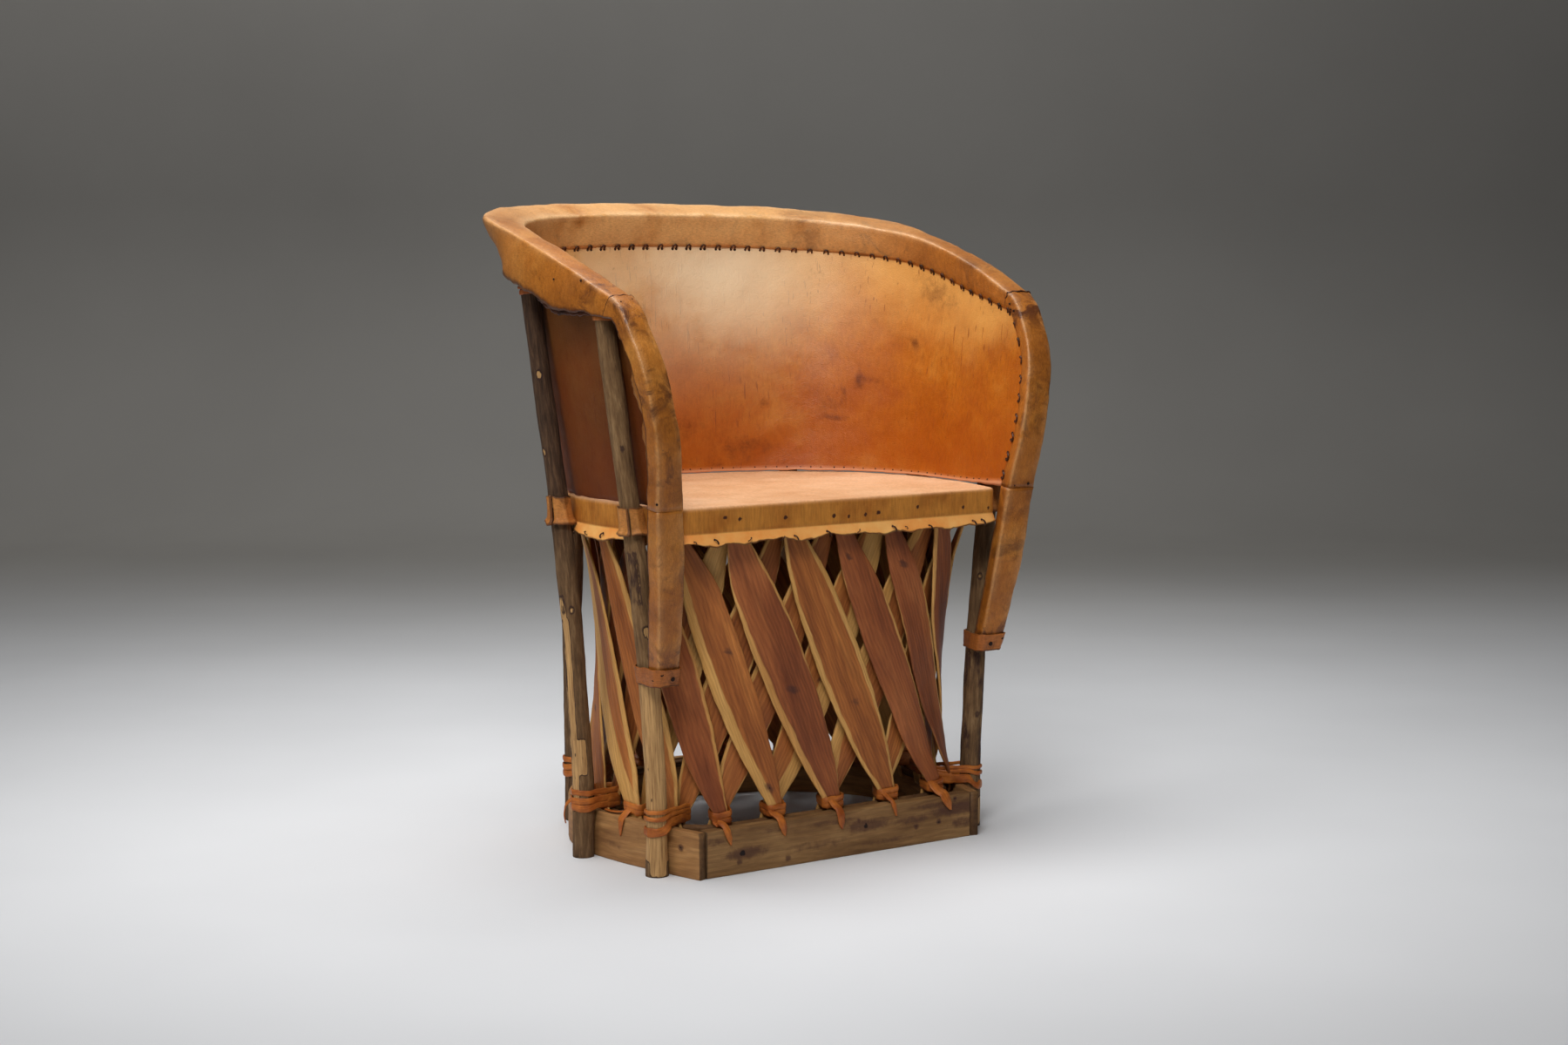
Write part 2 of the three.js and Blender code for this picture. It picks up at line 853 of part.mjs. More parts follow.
const hoopInset = leatherThickness + fit + seatHoopThickness;
const slatLow = baseHeight - slatEndInset;
const slatHigh = seatHeight - leatherThickness - slatEndInset;
const lowTie = baseHeight + thongWidth / 2;
const lowRingHeight = baseHeight - ringRadius - fit;
const highRingHeight = slatHigh - ringRadius;
const highTie = highRingHeight - ringRadius;
const ringApart = ringRadius + slatThickness / 2 + slatRingGap;
const crossApart = (slatThickness + slatCrossGap) / 2;
const ringInset = slatRingGap + slatThickness / 2 + ringApart;
const lowRing = baseFace.inset(ringInset);
const highSide = seatSide.inset(hoopInset);
const highRing = closedOutline(highSide, seatFront + hoopInset, slatCornerRadius, 1).inset(ringInset);
const layers = { outer: 1, inner: -1 };

// The share of the whole ring at a tie, counted from the front's middle to the left
const tieCount = 2 * tieShares.length - 1;
function tieShare(number, shares = tieShares) {
  const turns = Math.floor(number / tieCount);
  const n = number - turns * tieCount;
  const share = n < shares.length ? shares[n] / 2 : 1 - shares[tieCount - n] / 2;
  return share + turns;
}

// Half the way between a tie's neighbours, anywhere round the ring
function tieSpan(share) {
  const whole = share - Math.floor(share);
  let n = 0;
  while (tieShare(n + 1) < whole) n++;
  const span = (number) => (tieShare(number + 1) - tieShare(number - 1)) / 2;
  return mix(span(n), span(n + 1), (whole - tieShare(n)) / (tieShare(n + 1) - tieShare(n)));
}

// How far up between the ties a height is, and how much of the waist is drawn in there
function slatRise(z) {
  const up = (z - lowTie) / (highTie - lowTie);
  const rise = clamp(up, 0, 1);
  return { up, rise, drawn: 4 * rise * (1 - rise) };
}

// A place on the drum, whose waist is drawn in to the straight lines between its ties
function drumMiddle(share, rise, drawn) {
  const span = tieSpan(share);
  const ring = (s) => lowRing.point(s).lerp(highRing.point(s), rise);
  const chord = ring(share - span).add(ring(share + span)).divideScalar(2);
  return ring(share).lerp(chord, drawn);
}

// A place on a slat's middle line and the way it faces
function slatPlace(lean, number, z) {
  const { up, rise, drawn } = slatRise(z);
  const share = mix(tieShare(number), tieShare(number + lean * slatSpan, topShares), up);
  const reach = tieSpan(share) * mix(1 / 9, 1 / 4, drawn);
  const left = drumMiddle(share + reach, rise, drawn);
  const across = left.sub(drumMiddle(share - reach, rise, drawn));
  const facing = new THREE.Vector2(-across.y, across.x).normalize();
  const apart = lean * mix(ringApart, crossApart, drawn);
  return { at: drumMiddle(share, rise, drawn).addScaledVector(facing, apart), facing };
}

function slatWidth(lean, number) {
  const z = (lowTie + highTie) / 2;
  const at = slatPlace(lean, number, z).at;
  const gaps = [number - 1, number + 1].map((other) => slatPlace(lean, other, z).at.distanceTo(at));
  return Math.min(slatFillShare * Math.min(...gaps), slatMostWidth);
}

// The share of its full width that a slat has at a share of its height
function leafShare(up) {
  const i = clamp(
    leafShares.findIndex(([at]) => at >= up),
    1,
    leafShares.length - 1,
  );
  const [[low, wideLow], [high, wideHigh]] = [leafShares[i - 1], leafShares[i]];
  return mix(wideLow, wideHigh, clamp((up - low) / (high - low), 0, 1));
}

function slatSection(lean, number, z) {
  const { at, facing } = slatPlace(lean, number, z);
  const sideways = new THREE.Vector2(facing.y, -facing.x);
  const up = (z - slatLow) / (slatHigh - slatLow);
  const edge = (slatWidth(lean, number) * leafShare(up)) / 2;
  const flat = edge - slatBevel;
  const thick = slatThickness / 2;
  return [
    [-edge, 0],
    [-flat, thick],
    [flat, thick],
    [edge, 0],
    [flat, -thick],
    [-flat, -thick],
  ].map(([x, y]) => {
    return lifted(at.clone().addScaledVector(sideways, x).addScaledVector(facing, y), z);
  });
}

function slatLoops(lean, number) {
  return leafShares.map(([up]) => slatSection(lean, number, mix(slatLow, slatHigh, up)));
}

// The corners of a slat at a height
function slatCorners(lean, number, z) {
  const loops = slatLoops(lean, number);
  const i = Math.max(loops.findIndex(([corner]) => corner.z > z), 1);
  const along = (z - loops[i - 1][0].z) / (loops[i][0].z - loops[i - 1][0].z);
  return loops[i - 1].map((corner, j) => corner.clone().lerp(loops[i][j], along));
}

// The thong that ties the slats' feet and the poles, unbroken round half the base

function poleAt(number) {
  return poles.find((pole) => (pole.tie + tieCount) % tieCount === number);
}

// What a turn holds at a height: both slats and, at some ties, a pole
function tiedPoints(number, z) {
  const points = [z - thongWidth / 2, z + thongWidth / 2].flatMap((height) => {
    return Object.values(layers).flatMap((lean) => slatCorners(lean, number, height));
  });
  const pole = poleAt(number);
  return pole ? [...points, ...poleLoop(pole, z)] : points;
}

// Where two tangents of a set of points meet, a skin outside it and a step apart in direction
function tangentCorner(points, angle, step, skin) {
  const [first, second] = [angle, angle + step].map((turned) => {
    const direction = new THREE.Vector2(Math.cos(turned), Math.sin(turned));
    const { x, y } = farthest(points, direction);
    return { direction, reach: direction.dot({ x, y }) + skin };
  });
  const { x, y } = first.direction;
  const along = (second.reach - first.reach * Math.cos(step)) / Math.sin(step);
  return new THREE.Vector2(-y, x).multiplyScalar(along).addScaledVector(first.direction, first.reach);
}

// The turns at a tie: as tight as the thong can go round what it holds
function turnPoints(number) {
  const turns = poleAt(number) ? 2 : 1;
  const outward = baseFace.outward(tieShare(number));
  const step = (2 * Math.PI) / loopSteps;
  const start = Math.atan2(-outward.y, -outward.x) - step;
  const skin = thongSlack + thongThickness / 2;
  let points = Array.from({ length: turns * loopSteps + 2 }, (_, i) => {
    return new THREE.Vector3(0, 0, firstTurnHeight + turnRise * (i / loopSteps));
  });
  // The turns climb evenly along the thong, so their places and heights are found in turn
  for (let pass = 0; pass < climbPasses; pass++) {
    points = points.map(({ z }, i) => {
      const held = tiedPoints(number, z);
      return lifted(tangentCorner(held, start + i * step, step, skin), z);
    });
    const lengths = [0];
    for (let i = 1; i < points.length; i++) {
      lengths.push(lengths[i - 1] + lifted(points[i], 0).distanceTo(lifted(points[i - 1], 0)));
    }
    points.forEach((point, i) => {
      point.z = firstTurnHeight + turnRise * (lengths[i] / lengths[loopSteps]);
    });
  }
  return points;
}

function thongPoints(numbers) {
  const turns = numbers.map(turnPoints);
  return turns.flatMap((points, n) => {
    if (n === turns.length - 1) return points;
    const from = points.at(-1);
    const to = turns[n + 1][0];
    const run = Array.from({ length: runSteps - 1 }, (_, i) => {
      const t = (i + 1) / runSteps;
      const point = from.clone().lerp(to, t);
      point.z = mix(from.z, to.z, smooth(t, runDropShare, runDownShare));
      return point;
    });
    return [...points, ...run];
  });
}

// The least distance between parts of the thong that aren't neighbours along it
function leastGap(points) {
  let least = Infinity;
  const apart = loopSteps / 2;
  for (let i = 0; i < points.length; i++) {
    for (let j = i + apart; j < points.length; j++) {
      const level = Math.hypot(points[i].x - points[j].x, points[i].y - points[j].y);
      const upright = Math.abs(points[i].z - points[j].z);
      least = Math.min(least, Math.max(level - thongThickness, upright - thongWidth));
    }
  }
  return least;
}

function thongGeometry(points) {
  const flat = thongWidth / 2 - thongThickness / 2;
  const loops = points.map((point, i) => {
    const before = points[Math.max(i - 1, 0)];
    const after = points[Math.min(i + 1, points.length - 1)];
    const ahead = lifted(after.clone().sub(before), 0).normalize();
    const across = new THREE.Vector3(-ahead.y, ahead.x, 0);
    return [
      [thongThickness / 2, -flat],
      [thongThickness / 2, flat],
      [0, thongWidth / 2],
      [-thongThickness / 2, flat],
      [-thongThickness / 2, -flat],
      [0, -thongWidth / 2],
    ].map(([x, z]) => {
      const corner = point.clone().addScaledVector(across, x);
      corner.z += z;
      return corner;
    });
  });
  return loftedGeometry(loops, false);
}

// The chair

const chair = new THREE.Group();

function add(name, geometry, material) {
  const mesh = new THREE.Mesh(geometry, material);
  mesh.name = name;
  chair.add(mesh);
}

function addBase() {
  const length = 2 * (Math.abs(hoopInside.points[0].x) - fit);
  const board = new THREE.BoxGeometry(length, frontBoardThickness, baseHeight);
  board.translate(0, frontBoardThickness / 2, baseHeight / 2);
  add("base_front_board", board, finish(boardColour, 0.85));
  const hoop = bandGeometry(hoopOutside, hoopInside, 0, baseHeight);
  add("base_side_hoop", hoop, finish(boardColour, 0.85));
  add("lower_ring", ringGeometry(lowRing, lowRingHeight), finish(barkColour, 0.9));
  add("upper_ring", ringGeometry(highRing, highRingHeight), finish(barkColour, 0.9));
}

function addSlats() {
  Object.entries(layers).forEach(([name, lean]) => {
    for (let number = 0; number < tieCount; number++) {
      const label = name + "_slat_" + String(number + 1).padStart(2, "0");
      const colour = number % 2 ? heartwoodColour : sapwoodColour;
      add(label, loftedGeometry(slatLoops(lean, number), false), finish(colour, 0.7));
    }
  });
}

function addSeat() {
  const top = seatHeight - leatherThickness - fit;
  const skin = leatherThickness + fit;
  const outer = closedOutline(seatSide.inset(skin), seatFront + skin, seatHoopCornerRadius, 1);
  const inner = outer.inset(seatHoopThickness);
  const hoop = bandGeometry(outer, inner, top - seatHoopHeight, top);
  add("seat_hoop", hoop, finish(boardColour, 0.85));
  add("seat_leather", seatLeatherGeometry(), finish(leatherColour, 0.6));
}

function addRim() {
  add("rim_hoop", rimHoopGeometry(), finish(barkColour, 0.85));
  add("rim_leather", channelGeometry(seatAt, lastKnot - seatAt), finish(leatherColour, 0.55));
  add("post_sleeve_left", channelGeometry(0, sleeveEnd), finish(leatherColour, 0.6));
  const right = channelGeometry(lastKnot - sleeveEnd, lastKnot);
  add("post_sleeve_right", right, finish(leatherColour, 0.6));
  add("back_leather", backLeatherGeometry(), finish(leatherColour, 0.5));
}

function addPoles() {
  poles.forEach((pole) => {
    add("pole_" + pole.name, poleGeometry(pole), finish(barkColour, 0.95));
    if (Math.abs(pole.tie) === backPole.tie) return;
    const loop = (z) => poleLoop(pole, z);
    const collar = collarGeometry(loop, collarLow, collarTop, collarSlack);
    add("seat_collar_" + pole.name, collar, finish(leatherColour, 0.7));
    if (Math.abs(pole.tie) !== frontPole.tie) return;
    const held = (z) => tipPoints(pole, z);
    const low = postTipHeight + fit;
    const band = collarGeometry(held, low, low + tipCollarHeight, tipCollarSlack);
    add("tip_collar" + pole.name.replace("front", ""), band, finish(thongColour, 0.7));
  });
}

function addThongs() {
  const all = Array.from({ length: tieCount }, (_, i) => i);
  const halves = { left: all.slice(0, tieShares.length), right: all.slice(tieShares.length) };
  Object.entries(halves).forEach(([side, numbers]) => {
    const points = thongPoints(numbers);
    console.log(side + " thong: least gap to itself " + leastGap(points).toFixed(2) + " mm");
    add("base_thong_" + side, thongGeometry(points), finish(thongColour, 0.75));
  });
}

addBase();
addSlats();
addSeat();
addRim();
addPoles();
addThongs();

// The origin is on the floor under the middle of the chair
const extent = new THREE.Box3().setFromObject(chair);
const middle = extent.getCenter(new THREE.Vector3());
chair.position.set(-middle.x, -middle.y, -extent.min.z);

export default chair;
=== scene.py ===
import math
import random

import bmesh
import bpy
import numpy as np
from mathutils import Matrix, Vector, noise


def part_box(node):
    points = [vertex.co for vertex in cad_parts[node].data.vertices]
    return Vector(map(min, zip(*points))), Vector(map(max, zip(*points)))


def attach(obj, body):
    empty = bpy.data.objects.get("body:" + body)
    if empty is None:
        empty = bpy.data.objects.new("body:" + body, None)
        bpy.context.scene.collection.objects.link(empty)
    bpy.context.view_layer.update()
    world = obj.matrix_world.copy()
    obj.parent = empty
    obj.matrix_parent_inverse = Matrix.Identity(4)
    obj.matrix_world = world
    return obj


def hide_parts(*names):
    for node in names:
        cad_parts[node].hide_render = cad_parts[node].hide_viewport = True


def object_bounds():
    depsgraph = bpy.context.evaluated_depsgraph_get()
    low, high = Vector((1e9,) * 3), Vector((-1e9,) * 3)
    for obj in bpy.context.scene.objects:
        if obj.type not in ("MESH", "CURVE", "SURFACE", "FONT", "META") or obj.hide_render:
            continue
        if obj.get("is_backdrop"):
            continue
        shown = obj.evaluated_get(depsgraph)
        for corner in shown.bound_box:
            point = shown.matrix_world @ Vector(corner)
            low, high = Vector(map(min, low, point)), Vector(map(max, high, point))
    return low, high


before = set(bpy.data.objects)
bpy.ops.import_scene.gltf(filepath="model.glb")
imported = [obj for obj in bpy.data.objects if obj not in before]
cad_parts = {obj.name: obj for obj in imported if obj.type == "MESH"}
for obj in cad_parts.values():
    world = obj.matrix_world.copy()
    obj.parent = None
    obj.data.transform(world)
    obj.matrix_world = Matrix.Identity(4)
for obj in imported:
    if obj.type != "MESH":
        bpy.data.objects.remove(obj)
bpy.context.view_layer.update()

# Lengths are in millimetres and depths count from the face of the base's front board, as in the
# solids. put() turns them into metres in the frame.
MM = 0.001
face_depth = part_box("base_front_board")[0].y

# Sizes that the solids use too
fit = 0.3
base_height = 58
rim_plan = dict(half=309, front_half=296, front=14, middle=170, back=430, power=3)
seat_plan = dict(half=266, front_half=235.56, front=-5, middle=150, back=400, power=2.2)
base_plan = dict(half=252, front_half=213, front=0, middle=200, back=413, power=2)
side_thickness = 11
rim_front_height, rim_back_height = 689, 809
post_tip_height, post_tip_half = 236, 244
post_bow, post_depth = 50, 20
post_widths = [32, 40, 40, 36, 36, 34]
arm_width, back_width, back_tilt = 34, 44, 16
arm_band, back_band = 36, 44
skirt_depth, skirt_flare = 55, 6
corner_lip, corner_bulge, corner_tuck = 14, 8, 44
ridge_radius, leather, back_leather = 4, 3, 2.6
tuck_depth = 12
seat_height, fascia_height, hem_height = 450, 31, 15
# Knots of a post: the share of its height, of the way out, and of the bow
post_places = [(0, 0, 0), (.5, .18, .46), (1, .37, .75),
               (.36, .58, 1), (.68, .82, .86), (.87, .94, .44)]
arm_places = [0, .075, .16, .26, .37, .49, .61, .73, .86, 1]
corner_places = (.38, .5, .56, .67)
seat_at = 2
drum_middle = np.array([0, 190])
up_axis = np.array([0, 0, 1.0])


# ---- small helpers

def mix(a, b, t):
    return a + (b - a) * t


def smooth(x, low, high):
    """0 at low and 1 at high, with a soft start and end"""
    t = np.clip((x - low) / (high - low), 0, 1)
    return t * t * (3 - 2 * t)


def unit(vectors):
    """Vectors in the same directions, with length 1"""
    return vectors / np.maximum(np.linalg.norm(vectors, axis=-1, keepdims=True), 1e-9)


def stacked(*parts):
    """Points, or other rows of values, from parts that are stretched to one shape"""
    return np.stack(np.broadcast_arrays(*parts), -1)


def run(points):
    """The way along a path from its first point to each point"""
    return np.append(0, np.cumsum(np.linalg.norm(np.diff(points, axis=0), axis=1)))


def wheel(count):
    """Even angles round a circle, with their cosines and sines"""
    turn = np.linspace(0, 2 * math.pi, count, endpoint=False)
    return turn, np.cos(turn), np.sin(turn)


def arc(x, y, radius, first, last, count):
    """Points on an arc, with angles in quarter turns"""
    turns = np.linspace(first * math.pi / 2, last * math.pi / 2, count)
    return [(x + radius * math.cos(a), y + radius * math.sin(a)) for a in turns]


def fractal(points, size, seed, octaves=2):
    """Smooth noise of about -1 to 1 at points, or at places on a line, with features of a size"""
    points = np.asarray(points, float)
    if points.ndim == 1:
        points = stacked(points, 0, 0)
    shift = Vector((seed * 7.13, seed * 3.71, seed * 5.29))
    flat = points.reshape(-1, 3) / size
    fall, finer = 0.7, 2.0
    values = [noise.fractal(Vector(p) + shift, fall, finer, octaves) for p in flat]
    return np.array(values).reshape(points.shape[:-1])


def grid_faces(rows, cols, wrap=False):
    r = np.arange(rows - 1)[:, None]
    c = np.arange(cols if wrap else cols - 1)[None, :]
    c2 = (c + 1) % cols
    quads = stacked(r * cols + c, r * cols + c2, (r + 1) * cols + c2, (r + 1) * cols + c)
    return quads.reshape(-1, 4).tolist()


def grid_normals(grid, wrap=False):
    if wrap:
        aside = np.roll(grid, -1, 1) - np.roll(grid, 1, 1)
    else:
        aside = np.gradient(grid, axis=1)
    return unit(np.cross(np.gradient(grid, axis=0), aside))


def node_points(name):
    """A solid's corners in millimetres"""
    points = np.array([v.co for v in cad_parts[name].data.vertices])
    points[:, 1] -= face_depth
    return points / MM


def put(name, points, faces, material, replaces=(), slot=None, **attributes):
    """A piece of the chair from points in millimetres, facing out, with values at its points"""
    points = np.asarray(points, float).reshape(-1, 3) * MM
    points[:, 1] += face_depth
    mesh = bpy.data.meshes.new(name)
    mesh.from_pydata(points.tolist(), [], faces)
    work = bmesh.new()
    work.from_mesh(mesh)
    bmesh.ops.recalc_face_normals(work, faces=work.faces)
    work.to_mesh(mesh)
    work.free()
    for key, values in attributes.items():
        values = np.asarray(values, np.float32)
        plain = values.size == len(points)
        data = mesh.attributes.new(key, "FLOAT" if plain else "FLOAT_VECTOR", "POINT").data
        data.foreach_set("value" if plain else "vector", values.ravel())
    mesh.polygons.foreach_set("use_smooth", [True] * len(mesh.polygons))
    mesh.materials.append(material)
    piece = bpy.data.objects.new(name, mesh)
    bpy.context.scene.collection.objects.link(piece)
    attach(piece, "root")
    if replaces:
        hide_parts(*replaces)


class Heap:
    """Tubes and other closed forms that become one piece"""

    def __init__(self):
        self.points, self.faces, self.values = [], [], {}
        self.count = 0

    def add(self, grid, caps=True, **values):
        """A grid that closes on itself across its rows, with values that are stretched to it"""
        rows, cols = grid.shape[:2]
        faces = grid_faces(rows, cols, wrap=True)
        if caps:
            faces += [list(range(cols)), list(range((rows - 1) * cols, rows * cols))]
        self.faces += [[i + self.count for i in face] for face in faces]
        self.points.append(grid.reshape(-1, 3))
        for key, value in values.items():
            vector = np.shape(value)[-1:] == (3,)
            value = np.broadcast_to(value, grid.shape if vector else grid.shape[:2])
            self.values.setdefault(key, []).append(value.reshape((-1, 3) if vector else -1))
        self.count += rows * cols

    def put(self, name, material, **rest):
        values = {key: np.concatenate(parts) for key, parts in self.values.items()}
        put(name, np.concatenate(self.points), self.faces, material, **values, **rest)


def put_grid(name, grid, material, replaces, slot, **values):
    """A piece of one closed grid in place of a solid"""
    heap = Heap()
    heap.add(grid, **values)
    heap.put(name, material, replaces=[replaces], slot=slot)


# ---- plans and outlines, as in the solids but finer

def left_side(plan, steps=48):
    """From the left front end of a plan to the middle of its back"""
    points = []
    for i in range(steps):
        t = 1 - i / steps
        x = plan["half"] - (plan["half"] - plan["front_half"]) * t ** 1.5
        points.append((-x, mix(plan["middle"], plan["front"], t)))
    for i in range(steps + 1):
        angle = math.pi / 2 * i / steps
        x = plan["half"] * max(math.cos(angle), 0) ** (2 / plan["power"])
        y = (plan["back"] - plan["middle"]) * math.sin(angle) ** (2 / plan["power"])
        points.append((-x if i < steps else 0, plan["middle"] + y))
    return np.array(points)


class Outline:
    """A path in the plane with its outward normals. Its reaches keep corners sharp in an inset"""

    def __init__(self, points, closed):
        self.points, self.closed = points, closed
        edges = np.roll(points, -1, 0) - points
        lengths = np.linalg.norm(edges, axis=1)
        normals = unit(stacked(-edges[:, 1], edges[:, 0]))
        if not closed:
            normals[-1] = normals[-2]
        before = np.roll(normals, 1, 0)
        if not closed:
            before[0] = normals[0]
        self.normals = unit(normals + before)
        self.reaches = 1 / (self.normals * normals).sum(1)
        self.lengths = np.append(0, np.cumsum(lengths))
        if not closed:
            self.lengths = self.lengths[:-1]
        self.length = self.lengths[-1]

    def at(self, share, values):
        share = share - math.floor(share) if self.closed else min(max(share, 0), 1)
        target = share * self.length
        i = int(min(max(np.searchsorted(self.lengths, target) - 1, 0), len(self.lengths) - 2))
        t = (target - self.lengths[i]) / (self.lengths[i + 1] - self.lengths[i])
        return mix(values[i], values[(i + 1) % len(values)], t)

    def point(self, share):
        return self.at(share, self.points)

    def outward(self, share):
        return unit(self.at(share, self.normals))

    def inset(self, distance):
        return Outline(self.points - self.normals * (distance * self.reaches)[:, None], self.closed)

    def even(self, count):
        """The same path with evenly spaced points"""
        shares = np.arange(count) / count if self.closed else np.linspace(0, 1, count)
        return Outline(np.array([self.point(share) for share in shares]), self.closed)


def mirrored(left):
    return left[::-1] * [-1, 1]


def side_outline(plan, steps=48):
    left = left_side(plan, steps)
    side = Outline(np.concatenate([left, mirrored(left[:-1])]), False)
    for i in (0, len(side.points) - 1):
        edge = side.normals[i].copy()
        side.normals[i] = [np.sign(side.points[i][0]), 0]
        side.reaches[i] = 1 / (side.normals[i] * edge).sum()
    return side


def at_depth(points, depth):
    i = 0
    while i < len(points) - 2 and points[i + 1][1] < depth:
        i += 1
    return mix(points[i], points[i + 1], (depth - points[i][1]) / (points[i + 1][1] - points[i][1]))


def closed_outline(side, front, radius, count):
    """A side and a straight front as one closed outline that starts at the front's middle"""
    left = side.points[: (len(side.points) + 1) // 2]
    corner, end = at_depth(left, front), at_depth(left, front + radius)
    start = np.array([corner[0] + radius, front])
    bend = [(1 - t) ** 2 * start + 2 * t * (1 - t) * corner + t * t * end
            for t in np.linspace(0, 1, 9)]
    half = np.array([np.array([0, front])] + bend + [p for p in left if p[1] > end[1] + 2])
    return Outline(np.concatenate([half, mirrored(half[1:-1])]), True).even(count)


# ---- the rail of the rim, as in the solids

def centripetal(points, t):
    """A point of the smooth curve through knots that the solids' rail follows"""
    last = len(points) - 1
    i = min(int(t * last), last - 1)
    w = t * last - i
    p1, p2 = points[i], points[i + 1]
    p0 = points[i - 1] if i else 2 * p1 - p2
    p3 = points[i + 2] if i + 2 <= last else 2 * p2 - p1
    d0, d1, d2 = (((b - a) ** 2).sum() ** 0.25 for a, b in ((p0, p1), (p1, p2), (p2, p3)))
    d1 = d1 if d1 >= 1e-4 else 1.0
    d0, d2 = (d if d >= 1e-4 else d1 for d in (d0, d2))
    m1 = ((p1 - p0) / d0 - (p2 - p0) / (d0 + d1) + (p2 - p1) / d1) * d1
    m2 = ((p2 - p1) / d1 - (p3 - p1) / (d1 + d2) + (p3 - p2) / d2) * d1
    return (p1 + m1 * w + (-3 * p1 + 3 * p2 - 2 * m1 - m2) * w * w
            + (2 * p1 - 2 * p2 + m1 + m2) * w ** 3)


rim_side = Outline(left_side(rim_plan, 12), False)
foot_depth = min(p[1] for p in node_points("pole_front_left") if p[2] < 1)
post_tip_depth = foot_depth - post_depth - fit


def post_knot(i):
    """A knot of the left post: its place, outward direction and the channel's sizes"""
    up, out, bow = post_places[i]
    if i <= seat_at:
        z = mix(post_tip_height, seat_height, up)
    else:
        z = mix(seat_height, rim_front_height, up)
    whole = (z - post_tip_height) / (rim_front_height - post_tip_height)
    x = -mix(post_tip_half, rim_plan["front_half"], out)
    y = mix(post_tip_depth, rim_plan["front"], whole) - post_bow * bow
    sizes = (post_widths[i], 0, post_depth, post_depth, 0, 0, 0)
    return (x, y, z), (*rim_side.outward(0), 0), sizes


def arm_knot(share):
    """A knot of the rim's left half, likewise"""
    opened, behind = smooth(share, 0, .16), smooth(share, .25, .75)
    corner = smooth(share, *corner_places[:2]) - smooth(share, *corner_places[2:])
    flare = skirt_flare * opened
    height = mix(rim_front_height, rim_back_height, 1 - (1 - share) ** 2.6)
    normal = rim_side.outward(share) if share < 1 else (0, 1)
    sizes = (
        mix(arm_width, back_width, behind),
        back_tilt * behind,
        mix(mix(post_depth, arm_band, opened), back_band, behind),
        mix(post_depth, skirt_depth, opened),
        mix(flare, -corner_tuck, corner),
        mix(flare * .7, -corner_bulge, corner),
        corner_lip * corner,
    )
    return (*rim_side.point(share), height), (*normal, 0), sizes


left_knots = [post_knot(i) for i in range(len(post_places))] + [arm_knot(s) for s in arm_places]
halves = [np.array(part, float) for part in zip(*left_knots)]
knot_at, knot_out, knot_size = (np.concatenate([half, half[-2::-1] * flip])
                                for half, flip in zip(halves, ([-1, 1, 1], [-1, 1, 1], 1)))
last_knot = len(knot_at) - 1
rim_start = len(post_places)
sleeve_end = seat_at - seat_at * fit / (seat_height - post_tip_height)


class Station:
    """A place of the rail, its directions out, up and ahead, and the channel's sizes there"""

    def __init__(self, number):
        self.number = number
        t = number / last_knot
        i = min(int(number), last_knot - 1)
        self.width, self.tilt, self.band, self.skirt, self.flare, self.bulge, self.lip = mix(
            knot_size[i], knot_size[i + 1], number - i)
        self.at = centripetal(knot_at, t)
        self.out = unit(centripetal(knot_out, t))
        step = 1e-4
        ahead = centripetal(knot_at, min(t + step, 1)) - centripetal(knot_at, max(t - step, 0))
        self.up = unit(np.cross(ahead, self.out))
        self.ahead = unit(ahead)

    def on(self, across, up):
        """A point, or points, by the way across the rim and up from its top"""
        lean = self.tilt * across / self.width
        return self.at + np.multiply.outer(across, self.out) + np.multiply.outer(up + lean, self.up)


def tuck_across(s):
    """Where the back's hide lies behind the inner band"""
    return leather + 2 * fit + back_leather / 2 - s.width / 2


def rim_share_at(number):
    """The share of the rim's plan from its left end to its right end"""
    from_end = min(number, last_knot - number) - rim_start
    i = min(int(from_end), len(arm_places) - 2)
    share = mix(arm_places[i], arm_places[i + 1], from_end - i) / 2
    return share if number < last_knot / 2 else 1 - share


# ---- materials

def linear(screen):
    """Shader values of a colour from its screen values, 0 to 255"""
    v = np.array(screen) / 255
    return np.where(v <= .04045, v / 12.92, ((v + .055) / 1.055) ** 2.4).tolist()


class Field:
    """A node's output that can be added, subtracted and multiplied"""

    def __init__(self, shade, socket):
        self.shade, self.socket = shade, socket

    def math(self, operation, a, b):
        return self.shade.node("Math", 0, {0: a, 1: b}, operation=operation)

    def __add__(self, other):
        return self.math("ADD", self, other)

    def __mul__(self, other):
        return self.math("MULTIPLY", self, other)

    def __sub__(self, other):
        return self.math("SUBTRACT", self, other)

    def __rsub__(self, other):
        return self.math("SUBTRACT", other, self)


